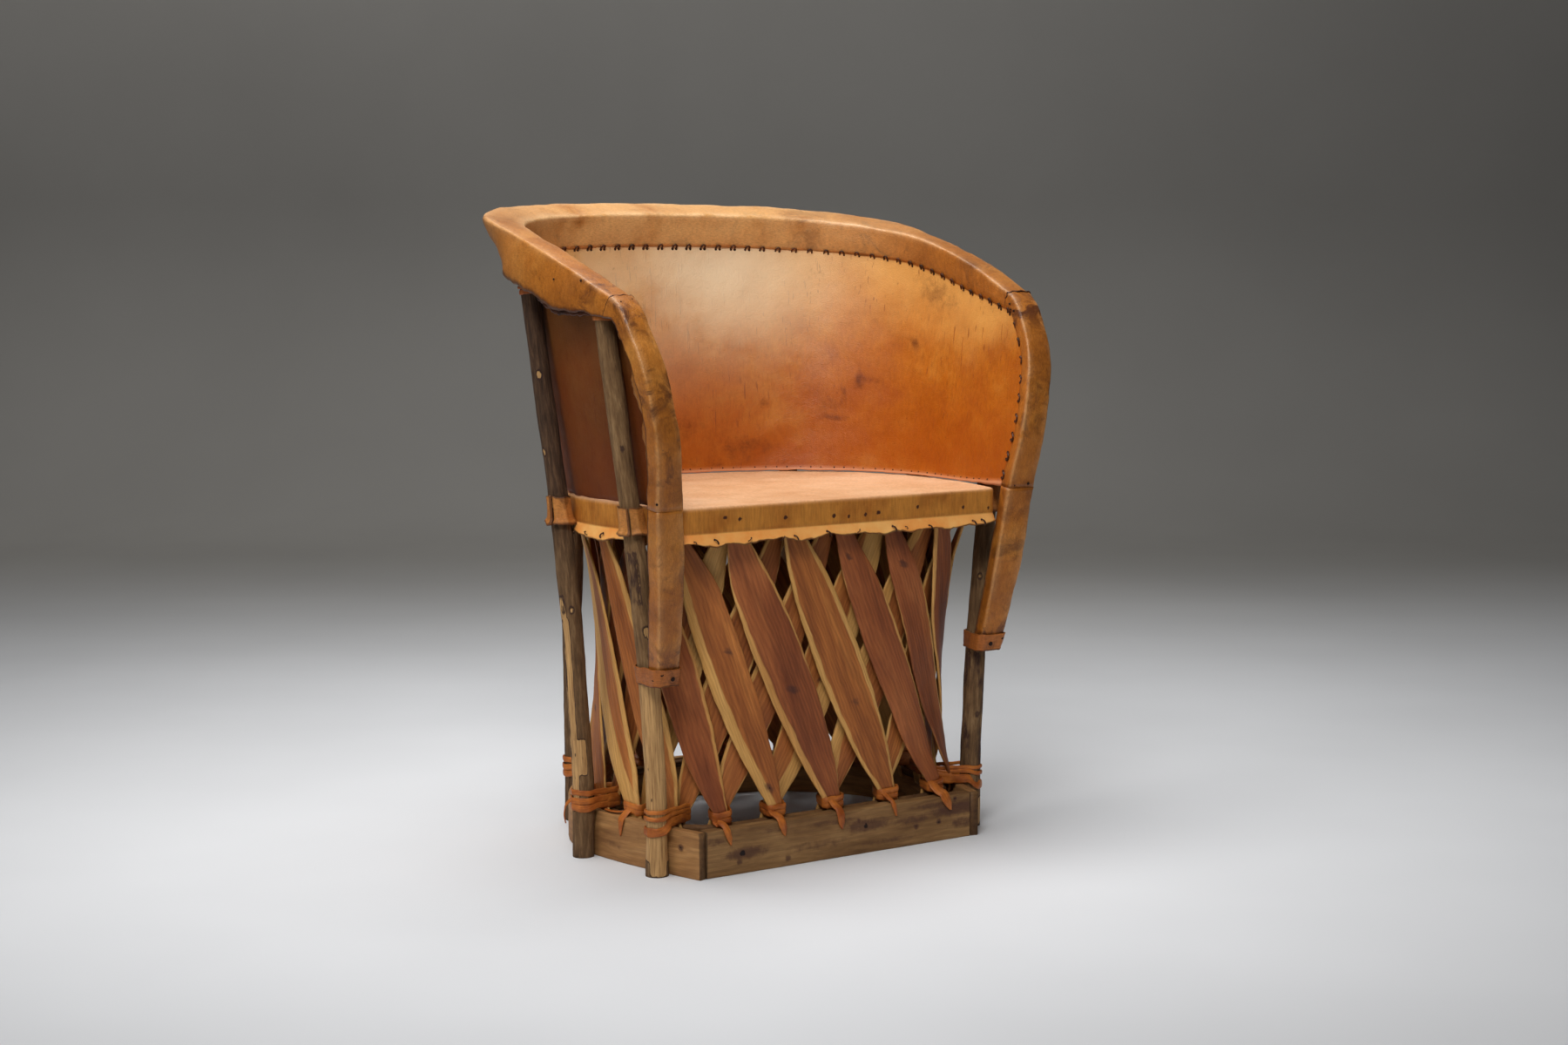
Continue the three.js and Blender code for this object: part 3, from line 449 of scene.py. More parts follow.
class Shade:
    """A material, its colour, roughness and normal so far, and short ways to join its nodes"""

    def __init__(self, name, roughness, coat=0.0, specular=.25):
        self.material = bpy.data.materials.new(name)
        self.material.use_nodes = True
        self.tree = self.material.node_tree
        self.shader = self.tree.nodes["Principled BSDF"]
        self.shader.inputs["Roughness"].default_value = roughness
        self.shader.inputs["Coat Weight"].default_value = coat
        self.shader.inputs["Coat Roughness"].default_value = .3
        self.shader.inputs["Specular IOR Level"].default_value = specular
        self.place = self.node("TexCoord", "Object", {})
        self.colour = self.rough = self.normal = None

    def node(self, kind, output, inputs, **settings):
        """A new node's output. Its inputs are given by name or number, as fields or plain values"""
        node = self.tree.nodes.new("ShaderNode" + kind)
        for key, value in settings.items():
            setattr(node, key, value)
        for key, value in inputs.items():
            if isinstance(value, Field):
                self.tree.links.new(value.socket, node.inputs[key])
            else:
                node.inputs[key].default_value = value
        return Field(self, node.outputs[output])

    def value(self, name, output="Fac"):
        """A value that the mesh carries at its points"""
        return self.node("Attribute", output, {}, attribute_name=name)

    def scaled(self, vector, x, y, z):
        return self.node("VectorMath", 0, {0: vector, 1: (x, y, z)}, operation="MULTIPLY")

    def noise(self, vector, scale, detail=3.0, rough=.55, distortion=0.0, output="Fac"):
        return self.node("TexNoise", output, {"Vector": vector, "Scale": scale, "Detail": detail,
                                              "Roughness": rough, "Distortion": distortion})

    def cells(self, vector, scale):
        return self.node("TexVoronoi", "Distance", {"Vector": vector, "Scale": scale})

    def waves(self, vector, scale, distortion, detail):
        return self.node("TexWave", "Fac", {"Vector": vector, "Scale": scale,
                                            "Distortion": distortion, "Detail": detail})

    def step(self, x, low, high):
        """0 below low and 1 above high, smoothly"""
        return self.node("MapRange", "Result", {"Value": x, "From Min": low, "From Max": high},
                         interpolation_type="SMOOTHSTEP")

    def factors(self, fac, *stops):
        """Red, green and blue factors that change with fac, given at places from 0 to 1"""
        ramp = self.node("ValToRGB", "Color", {"Fac": fac})
        elements = ramp.socket.node.color_ramp.elements
        while len(elements) < len(stops):
            elements.new(.5)
        for element, (place, values) in zip(elements, stops):
            element.position, element.color = place, (*values, 1)
        return ramp

    def ramp(self, fac, *stops):
        """Colours that change with fac, given as screen values at places from 0 to 1"""
        return self.factors(fac, *((place, linear(colour)) for place, colour in stops))

    def blend(self, fac, a, b, kind="MIX"):
        """From colour a to colour b. Plain ones are screen values"""
        a, b = (c if isinstance(c, Field) else (*linear(c), 1) for c in (a, b))
        return self.node("Mix", 2, {"Factor": fac, 6: a, 7: b}, data_type="RGBA", blend_type=kind)

    def paint(self, amount, colour):
        """Lays a colour over the colour so far"""
        self.colour = self.blend(amount, self.colour, colour)

    def tint(self, amount, fac, low, dark, high, light):
        """Darkens and lightens the colour so far with a pattern, by factors at two of its values"""
        self.colour = self.blend(amount, self.colour, self.factors(fac, (low, dark), (high, light)),
                                 "MULTIPLY")

    def bump(self, height, distance, strength):
        """Lays relief over the normal so far"""
        inputs = {"Height": height, "Distance": distance, "Strength": strength}
        if self.normal:
            inputs["Normal"] = self.normal
        self.normal = self.node("Bump", "Normal", inputs)

    def finish(self):
        ends = (("Base Color", self.colour), ("Roughness", self.rough), ("Normal", self.normal))
        for name, field in ends:
            if field:
                self.tree.links.new(field.socket, self.shader.inputs[name])
        return self.material


def leather_shade(name, pale, middle, deep, stain, roughness, coat, stain_size, stain_share,
                  hair=.35):
    """Vegetable-tanned hide: patina in clouds, dark stains, pores, hair marks, frayed edges, and
    pale rubbed places that on the rim's ridges are also a painted highlight
    """
    s = Shade(name, roughness, coat)
    p = s.place
    cloud, patch = s.noise(p, 6, 5, .6, .4), s.noise(p, 22, 4, .6, .6)
    s.colour = s.ramp(cloud * .65 + patch * .35, (.3, deep), (.5, middle), (.68, pale))
    fibre = s.noise(s.scaled(p, 1, 1, hair), 260, 3, .6)
    s.tint(.35, fibre, .3, (.55, .5, .45), .6, (1.1, 1.1, 1.1))
    blots = s.step(s.noise(p, stain_size, 6, .65, 1.2), stain_share, stain_share + .12)
    s.paint(blots * .6, stain)
    pores = s.step(s.cells(p, 95), .14, .05) * s.step(s.noise(p, 14, 2), .52, .6)
    s.paint(pores * .55, stain)
    frayed = s.step(s.value("edge") + s.noise(p, 90, 3) * .5, .55, 1.15)
    s.paint(frayed * .8, stain)
    # Pale rubbed places; along the rim's ridges this paleness is also a painted highlight
    worn = s.step(s.value("worn") + s.noise(p, 120, 4) * .7, .75, 1.25)
    s.paint(worn * .4, pale)
    s.bump(s.cells(p, 800) + s.noise(p, 240, 4, .6) * 1.4, .0005, .5)
    s.bump(s.noise(p, 45, 4, .6), .0016, .5)
    s.rough = s.noise(p, 60, 4) * .3 + (roughness - .14) - worn * .12
    return s


def back_shade():
    """The polished inside of the back: darker low down by stains and by painted shade near the
    seat, with a painted highlight high up, and its plainer outside
    """
    s = leather_shade("back_hide", (208, 142, 56), (186, 106, 22), (158, 76, 10), (80, 34, 8),
                      roughness=.38, coat=.05, stain_size=9, stain_share=.66)
    p = s.place
    # Lighter towards the top, and darker near the seat, where that darkening is painted shade at
    # the foot of the back
    level = s.value("height") + s.noise(p, 13, 4, .6) * .5
    s.paint(s.step(level, .75, 1.3) * .75, (232, 172, 92))
    s.paint(s.step(level, .95, .3) * .6, (156, 70, 12))
    streaks = s.step(s.noise(s.scaled(p, 1, 1, .04), 300, 2, .5, .3), .64, .7)
    streaks = streaks * s.step(s.noise(p, 7, 2), .42, .56)
    s.paint(streaks * .6, (128, 60, 20))
    # A painted highlight high on the back: the lamp's sheen painted pale, over some real patina
    s.paint(s.value("bloom") * s.step(s.noise(p, 9, 4, .6), .1, .5), (255, 230, 190))
    spots = s.value("stain") * .8 + s.noise(p, 60, 6, .75) * .8
    s.paint(s.step(spots, .6, 1.05) * .75, (84, 34, 10))
    s.paint(s.value("lip") * .8, (222, 152, 108))
    outer = s.value("outer")
    s.paint(outer * .85, s.blend(s.noise(p, 8, 4, .6, .5), (66, 24, 3), (118, 52, 11)))
    s.rough = s.rough + outer * .3
    s.bump(streaks, .0006, .4)
    return s.finish()


def mark_along(s, scale, detail, distortion, amount, dark, light):
    """Slanting marks across a channel, and its cracks"""
    slant = s.noise(s.scaled(s.value("rail", "Vector"), 3, 1, 1), scale, detail, .6, distortion)
    s.tint(amount, slant, .35, dark, .6, light)
    crack = s.step(s.value("crack") + s.noise(s.place, 60, 3) * .3, .75, .95)
    s.paint(crack, (38, 18, 12))


def rim_shade():
    """The rim's hide: rubbed pale along its ridges at the back, where the paleness is also a
    painted highlight, dirty where it is handled
    """
    s = leather_shade("rim_hide", (200, 134, 60), (176, 106, 36), (138, 76, 20), (70, 32, 10),
                      roughness=.4, coat=.18, stain_size=17, stain_share=.57, hair=.3)
    p = s.place
    patina = s.value("patina")
    s.paint(patina * s.step(s.noise(p, 11, 4, .6), .2, .55) * .55, (250, 196, 130))
    # Paler still along the ridges, most at the back: rubbed wear and a painted highlight of the
    # lamps
    ridge = s.value("worn") * s.step(s.noise(p, 26, 5, .7), .34, .56) * (patina * .7 + .3)
    s.paint(ridge * .6, (252, 210, 160))
    blotchy = s.step(s.noise(p, 30, 6, .74, .8), .42, .6)
    scuff = s.node("Math", 0, {0: s.value("scuff"), 1: blotchy},
                   operation="MULTIPLY", use_clamp=True)
    s.paint(scuff * .85, (74, 34, 20))
    mark_along(s, 190, 3, .6, .4, (.62, .6, .55), (1.12, 1.1, 1.05))
    return s.finish()


def post_shade(name, pale, middle, deep):
    """Stiffer hide with slanting marks, for the collars"""
    s = leather_shade(name, pale, middle, deep, (64, 32, 18),
                      roughness=.52, coat=.06, stain_size=16, stain_share=.56)
    mark_along(s, 170, 4, .5, .5, (.58, .56, .5), (1.15, 1.12, 1.05))
    return s.finish()


def seat_shade():
    """A pale dull top, an olive-brown edge and an orange-tan hem with a torn dark border"""
    s = leather_shade("seat_hide", (232, 188, 148), (222, 172, 128), (204, 146, 98), (120, 66, 30),
                      roughness=.62, coat=0.0, stain_size=9, stain_share=.7)
    p = s.place
    top = s.colour
    s.colour = s.ramp(s.noise(p, 20, 4, .6), (.35, (170, 102, 34)), (.6, (198, 130, 52)))
    upright = s.noise(s.scaled(p, 1, 1, .12), 420, 3, .6)
    s.tint(.55, upright, .3, (.6, .58, .5), .62, (1.12, 1.1, 1.05))
    s.paint(s.step(s.value("stain") + s.noise(p, 150, 3) * .6, .75, 1.0), (70, 34, 18))
    s.colour = s.blend(s.value("side"), top, s.colour)
    # The hem's own orange-tan, painted paler than the side as painted light, since the hem lies low
    # in shade under the seat's edge
    orange = s.ramp(s.noise(p, 30, 4, .6), (.35, (250, 162, 78)), (.65, (255, 190, 108)))
    s.paint(s.value("hem"), orange)
    s.paint(s.step(s.value("edge") + s.noise(p, 70, 3) * .7, .85, 1.2) * .8, (70, 34, 16))
    s.bump(s.noise(s.scaled(p, .35, 1, 1), 26, 3, .5, .4), .002, .35)
    return s.finish()


def thong_shade(name, pale, deep):
    """Rawhide with fibres along the strand and dark edges"""
    s = Shade(name, .5, .1)
    p = s.place
    s.colour = s.ramp(s.noise(p, 40, 4, .6), (.35, deep), (.65, pale))
    fibres = s.noise(s.scaled(s.value("strand", "Vector"), 1, .08, 1), 700, 3, .6)
    s.tint(.5, fibres, .3, (.45, .4, .35), .62, (1.15, 1.1, 1.05))
    s.paint(s.step(s.value("edge") + s.noise(p, 160, 3) * .6, .8, 1.2) * .7, (48, 20, 10))
    s.rough = s.noise(p, 120, 3) * .32 + .34
    s.bump(fibres, .0006, .6)
    return s.finish()


def wood_shade(name, heart, sap, roughness, line_scale=55, line_share=.3):
    """Split wood: growth lines along the grain, sapwood beside the heartwood, knots, grubby ends"""
    s = Shade(name, roughness, .04)
    g = s.value("grain", "Vector")
    wander = s.noise(s.scaled(g, 22, 22, 5), 1, 2, .5, output="Color")
    bend = s.node("VectorMath", 0, {0: wander, "Scale": .03}, operation="SCALE")
    shifted = s.node("VectorMath", 0, {0: g, 1: bend}, operation="ADD")
    lines = s.waves(shifted, line_scale, 3.4, 3)
    fine = s.noise(s.scaled(g, 1, 1, .035), 900, 4, .65)
    tone = s.noise(s.scaled(g, 1, 1, .2), 24, 4, .6, .5)
    figure = s.noise(s.scaled(g, 1, 1, .12), 75, 3, .6, 1.2)
    s.colour = s.ramp(tone, *zip((.3, .5, .7), heart))
    s.tint(line_share, lines, .15, (.6, .52, .5), .7, (1.12, 1.08, 1.05))
    s.tint(.5, figure, .36, (.62, .56, .54), .56, (1.08, 1.06, 1.04))
    core = s.colour
    s.colour = s.ramp(s.noise(s.scaled(g, 1, 1, .15), 40, 3, .6), *zip((.3, .7), sap))
    s.tint(.25, lines, .2, (.7, .62, .5), .7, (1.05, 1.05, 1.05))
    ragged = (s.noise(s.scaled(g, 1, 1, .25), 60, 3, .6) - .5) * .007
    s.colour = s.blend(s.step(s.value("sapwood") + ragged, -.0012, .0012), core, s.colour)
    s.tint(.5, fine, .3, (.55, .5, .46), .6, (1.1, 1.1, 1.08))
    knot = s.value("knot") + (s.noise(g, 110, 5, .7) - .5) * .9
    s.paint(s.step(knot, .18, .72) * .75, (74, 42, 34))
    s.paint(s.step(knot, .8, 1.0), (28, 14, 12))
    s.paint(s.step(s.value("edge") + s.noise(g, 45, 4, .65) * .75, .8, 1.3) * .65, (48, 30, 20))
    s.rough = fine * .26 + (roughness - .12)
    s.bump(fine, .0005, .6)
    s.bump(lines, .0006, .35)
    return s.finish()


def bark_shade():
    """Grey-brown bark with cracks along the stick, peeled in patches down to pale pitted wood"""
    s = Shade("bark", .8, 0.0, .3)
    g = s.value("grain", "Vector")
    ridges = s.noise(s.scaled(g, 1, 1, .14), 240, 5, .65, .4)
    patchy = s.noise(s.scaled(s.place, 1, 1, .5), 34, 4, .65)
    light = s.ramp(ridges * .6 + patchy * .4,
                   (.3, (76, 54, 34)), (.5, (126, 94, 60)), (.7, (168, 134, 92)))
    brown = s.ramp(ridges, (.3, (38, 25, 17)), (.52, (70, 48, 33)), (.72, (104, 76, 54)))
    grown = s.blend(s.value("dark"), light, brown)
    bare = s.ramp(s.noise(s.scaled(g, 1, 1, .06), 420, 4, .6),
                  (.3, (140, 100, 58)), (.65, (204, 160, 104)))
    pits = s.step(s.cells(s.scaled(g, 1, 1, .45), 130), .22, .08)
    pits = pits * s.step(s.noise(g, 60, 2), .5, .6)
    peel = s.value("peel") + s.noise(s.scaled(g, 1, 1, .3), 70, 4, .65) * .8
    peeled = s.step(peel, .78, .86)
    s.colour = s.blend(peeled, grown, s.blend(pits, bare, (50, 28, 22)))
    s.paint(s.step(peel, .66, .78) * (1 - peeled) * .8, (48, 26, 28))
    s.rough = .86 - peeled * .25
    s.bump(ridges * (1.4 - peeled), .0025, .8)
    s.bump(1 - peeled, .0012, .5)
    return s.finish()


def hole_shade():
    s = Shade("hole", .8)
    mottle = s.noise(s.place, 220, 3, .6)
    s.colour = s.ramp(mottle, (.35, (26, 14, 10)), (.65, (44, 22, 14)))
    s.bump(mottle, .0004, .5)
    return s.finish()


back_hide, rim_hide, seat_hide = back_shade(), rim_shade(), seat_shade()
post_hide = post_shade("post_hide", (206, 142, 76), (178, 110, 50), (138, 78, 30))
cuff_hide = post_shade("cuff_hide", (204, 132, 68), (174, 102, 46), (132, 68, 28))
thong = thong_shade("rawhide_thong", (200, 118, 48), (150, 76, 28))
lace_and_shadow = thong_shade("dark_lace", (92, 48, 26), (44, 22, 14))
# Each wood: the colours of its heartwood and of its sapwood from deep to pale, and its roughness
slat_wood = wood_shade("split_heartwood", ((130, 70, 36), (164, 96, 49), (194, 122, 64)),
                       ((196, 140, 72), (226, 172, 100)), .56)
red_wood = wood_shade("split_red_heartwood", ((118, 60, 32), (154, 86, 46), (186, 112, 62)),
                      ((196, 138, 72), (226, 172, 100)), .54)
brown_wood = wood_shade("split_brown_heartwood", ((138, 76, 36), (174, 104, 50), (204, 132, 66)),
                        ((200, 146, 76), (230, 178, 106)), .58)
board_wood = wood_shade("bent_board", ((98, 66, 38), (138, 102, 62), (166, 128, 82)),
                        ((140, 102, 60), (166, 128, 82)), .7, 38, .2)
hoop_board_wood = wood_shade("bent_hoop_board", ((134, 92, 54), (174, 128, 78), (204, 160, 106)),
                             ((160, 120, 74), (206, 164, 110)), .68, 38, .2)
hoop_wood = wood_shade("hoop_stick", ((90, 62, 38), (122, 86, 52), (150, 112, 70)),
                       ((120, 84, 50), (160, 122, 78)), .72)
bark = bark_shade()
hole_dark = hole_shade()


# ---- leather of the rim and posts

def channel_profile(s, torn):
    """The outer side of the channel, across and up, from the inner band's hem to the skirt's hem"""
    half, lip, r = s.width / 2, s.width / 2 + s.lip, ridge_radius
    crown = 3.2
    points = [(-half, mix(-s.band, -r, t)) for t in np.linspace(0, 1, 9)[:-1]]
    points += arc(r - half, -r, r, 2, 1, 6)
    points += [(mix(r - half, lip - r, t), crown * t * (1 - t)) for t in np.linspace(0, 1, 9)[1:-1]]
    points += arc(lip - r, -r, r, 1, 0, 6)
    u0, u1, u2 = -r, -.4 * s.skirt, -s.skirt
    for t in np.linspace(0, 1, 13)[1:]:
        u = mix(u0, u2, t)
        bowed = (s.bulge * (u - u0) * (u - u2) / ((u1 - u0) * (u1 - u2))
                 + s.flare * (u - u0) * (u - u1) / ((u2 - u0) * (u2 - u1)))
        points.append((lip + bowed, u - torn * smooth(t, .6, 1)))
    return np.array(points)


def profile_normals(profile):
    ahead = np.gradient(profile, axis=0)
    return unit(stacked(-ahead[:, 1], ahead[:, 0]))


# Dirty places of the rail, as number, reach and amount
scuffs = ((.1, .4, 1), (1.2, .4, .6), (2.2, .4, .5), (3.6, .5, .9), (5.6, .55, 1.2), (7.1, .4, .8),
          (17.6, .5, .5), (last_knot - 8, .6, .6), (last_knot - 5.6, .8, 1.2),
          (last_knot - 3.4, .5, .7), (last_knot - 1.8, .4, .5), (last_knot - .1, .5, 1))
# Places of the profile's points: the ridge beside the inner band and the outer ridge
ridge_places = (11, 23)
# How far a proud joint fades and its crack reaches, in numbers of the rail
joint_fade, crack_reach = .16, .035


def channel(numbers, seed, joints, torn_size):
    """A channel of leather along the rail as a grid, with the values that its material reads"""
    stations = [Station(n) for n in numbers]
    along = run([s.at for s in stations])
    torn = torn_size * fractal(along, 22, seed, 3)
    rows, around, cracks = [], [], []
    for s, t in zip(stations, torn):
        profile = channel_profile(s, t * min(s.skirt / skirt_depth, 1))
        normal = profile_normals(profile)
        lifted = sum(height * math.exp(-abs(s.number - at) / joint_fade)
                     for at, side, height in joints if (s.number - at) * side > 0)
        outer = profile + normal * lifted
        outer[:4, 0] += (2.1, 1.3, .6, .2)  # the band's hem thins out
        inner = profile - normal * leather
        rows.append(s.on(*np.concatenate([outer, inner[::-1]]).T))
        girth = run(profile)
        around.append(np.append(girth, girth[::-1]) - s.band)
        cracks.append(max([0] + [1 - min(abs(s.number - at) / crack_reach, 1)
                                 for at, _, _ in joints]))
    grid = np.array(rows)
    count = grid.shape[1] // 2
    normals = grid_normals(grid, wrap=True)
    if (normals[:, count // 2 - 2] * [s.up for s in stations]).sum() < 0:
        normals = -normals
    outer = grid[:, :count]
    shift = 1.5 * fractal(outer, 60, seed + 1, 2) + .45 * fractal(outer, 14, seed + 2, 2)
    grid = grid + normals * np.append(shift, -shift[:, ::-1], 1)[..., None]
    order = np.arange(count)
    hem = np.minimum(order, count - 1 - order)
    edge = np.clip(1 - hem / 3, 0, 1) * np.where(order < count / 2, .3, 1)
    ridge = np.max([1 - np.abs(order - place) / 4 for place in ridge_places], 0).clip(0, 1)
    edge, ridge = np.append(edge, edge[::-1]), np.append(ridge, ridge[::-1])
    outside = np.arange(2 * count) < count
    dirt = sum(amount * np.exp(-((numbers - at) / wide) ** 2) for at, wide, amount in scuffs)
    middle = smooth(4 - np.abs(numbers - last_knot / 2), -2.5, 3)
    # Along the ridges the wear-and-sheen share is rubbed wear and a painted highlight
    return grid, dict(
        edge=np.maximum(edge, .6 * ~outside), worn=ridge * outside,
        crack=np.array(cracks)[:, None], patina=middle[:, None] * outside,
        scuff=dirt[:, None] * (.85 + .5 * np.maximum(ridge, edge)) * outside,
        rail=stacked(np.array(around) * MM, along[:, None] * MM, seed))


# The cracked joint across each arm, as number, side that stands proud and height
arm_joint = 6.35
rim_joints = [(arm_joint, -1, 1.6), (last_knot - arm_joint, 1, 1.6)]
numbers = list(np.linspace(seat_at, last_knot - seat_at, 400))
numbers += [at + d for at, _, _ in rim_joints for d in (-.03, -.012, -.003, .003, .012, .03)]
grid, values = channel(np.sort(numbers), 3, rim_joints, torn_size=4)
put_grid("rim_cover", grid, rim_hide, "rim_leather", "rim_leather", **values)
for side, first, last, seed in (("left", 0, sleeve_end, 11),
                                ("right", last_knot - sleeve_end, last_knot, 12)):
    grid, values = channel(np.linspace(first, last, 52), seed, [], torn_size=2)
    put_grid("post_cover_" + side, grid, rim_hide, "post_sleeve_" + side, "rim_leather", **values)


# ---- leather of the back

seat_edge = side_outline(seat_plan).inset(fit + back_leather)
panel_bottom = seat_height + fit


def under_band(number):
    s = Station(number)
    return s.on(tuck_across(s), -s.band - fit)


def inside_band(number):
    s = Station(number)
    return s.on(tuck_across(s), -tuck_depth)


def back_grid(columns, rows, tucks):
    """The panel's middle as a grid, tucked into the channel at its top and ends"""
    numbers = np.linspace(rim_start, last_knot - rim_start, columns)
    shares = np.array([rim_share_at(n) for n in numbers])
    heights = np.linspace(0, 1, rows) ** 1.15
    up = heights[:, None]
    tops = np.array([under_band(n) for n in numbers])[:, None]
    lows = np.array([(*seat_edge.point(share), panel_bottom) for share in shares])[:, None]
    left_end = mix(seat_at, rim_start, heights)
    ends = (left_end, last_knot - left_end)
    posts = np.array([[under_band(n) for n in end] for end in ends])
    posts[..., 2] = posts[..., 2].clip(panel_bottom)
    posts[:, 0, 2] = panel_bottom
    # The ends follow the posts, and that fades out along the arms
    away = (1 - np.minimum(shares, 1 - shares) / .14).clip(0)
    gaps = posts - mix(lows, tops, up)[[0, -1]]
    grid = mix(lows, tops, up) + gaps[(shares > .5).astype(int)] * (away ** 2)[:, None, None]
    steps = (np.arange(tucks) + 1) / tucks
    inside = np.array([inside_band(n) for n in numbers])[:, None]
    grid = np.append(grid, mix(tops, inside, steps[:, None]), 1)
    beside = []
    for end, column in zip(ends, (0, -1)):
        goals = np.array([inside_band(n) for n in np.append(end, end[-1:].repeat(tucks))])
        goals[:, 2] = goals[:, 2].clip(panel_bottom)
        beside.append(mix(grid[column], goals, steps[:, None, None]))
    return np.concatenate([beside[0][::-1], grid, beside[1]]), shares, heights


columns, rows, tucks = 260, 72, 3
grid, shares, heights = back_grid(columns, rows, tucks)
normals = grid_normals(grid)
if (normals * ([0, 180, 0] - grid) * [1, 1, 0]).sum() < 0:
    normals = -normals
zero = np.zeros(grid.shape[:2])
u = np.pad(shares, tucks, "edge")[:, None] + zero
v = np.append(heights, [1] * tucks) + zero
calm = smooth(v, 0, .08) * (1 - smooth(v, .9, 1)) * smooth(np.minimum(u, 1 - u), 0, .05)
swell = calm * (1.8 * fractal(grid, 95, 5, 2) + .5 * fractal(grid, 26, 6, 2))
lip = (1 - smooth(v, .004, .022)) * (1.6 + 1.1 * fractal(grid, 16, 7, 2))
grid = grid + normals * (swell + lip)[..., None]
grid[..., 2] += (1 - smooth(v, 0, .012)) * (.5 + .9 * fractal(grid, 20, 8, 2)).clip(0, 2)


def near(place, height, width, reach):
    """1 at a place of the panel, less around it, in shares of the rim and of the height"""
    return np.exp(-((u - place) / width) ** 2 - ((v - height) / reach) ** 2)


# Where the back carries that painted highlight, with some real patina, as a share
bloom = np.maximum(near(.56, .88, .12, .32), .5 * near(.44, .78, .2, .34))
# Stains and scratches of the back, as place, height, width, reach and amount
stains = sum(amount * near(*spot) for *spot, amount in (
    (.338, .13, .008, .035, 1.3), (.35, .1, .012, .02, .9), (.45, .62, .03, .05, .25),
    (.52, .45, .05, .03, .3), (.7, .3, .03, .05, .45), (.74, .42, .008, .07, .6),
    (.66, .55, .012, .06, .4), (.78, .2, .02, .05, .4), (.6, .12, .05, .05, .45),
    (.36, .05, .05, .06, .5), (.82, .62, .01, .04, .6), (.69, .9, .05, .06, .3),
    (.3, .7, .006, .012, .6), (.43, .9, .003, .006, .8), (.71, .24, .03, .02, .5),
    (.5, .04, .3, .05, .35), (.88, .5, .05, .3, .3), (.15, .5, .08, .5, .45),
    (.86, .9, .05, .1, .5), (.72, .36, .004, .06, .55), (.76, .42, .02, .025, .45),
    (.5, .2, .08, .08, .45), (.62, .3, .012, .03, .6))).clip(0, 1)
sheet = np.stack([grid + normals * back_leather / 2, grid - normals * back_leather / 2])
faces = grid_faces(*zero.shape)
count = zero.size
index = np.arange(count).reshape(zero.shape)
border = np.concatenate([index[:, 0], index[-1, 1:], index[:-1, -1][::-1], index[0, 1:-1][::-1]])
faces += [[i + count for i in reversed(face)] for face in faces]
faces += stacked(border, after := np.roll(border, -1), after + count, border + count).tolist()
edge = (1 - smooth(v, .005, .03)) * .75
put("back_panel", sheet, faces, back_hide, replaces=["back_leather"], slot="back_leather",
    height=np.stack([v, v]), bloom=np.stack([bloom, zero]), stain=np.stack([stains, zero]),
    lip=np.stack([1 - smooth(v, .008, .02), zero]), outer=np.stack([zero, zero + 1]),
    edge=np.stack([edge, edge]), worn=np.stack([zero, zero]))
panel_foot, panel_foot_out = sheet[0][tucks:-tucks, 2], normals[tucks:-tucks, 2]


# ---- leather of the seat

# Nail holes of the seat's edge, as place from the left to the right and height
seat_nails = ((-177, 436), (-156, 433), (-19, 429), (3, 427), (29, 428), (49, 429), (182, 428),
              (223, 425), (-90, 431), (110, 433))


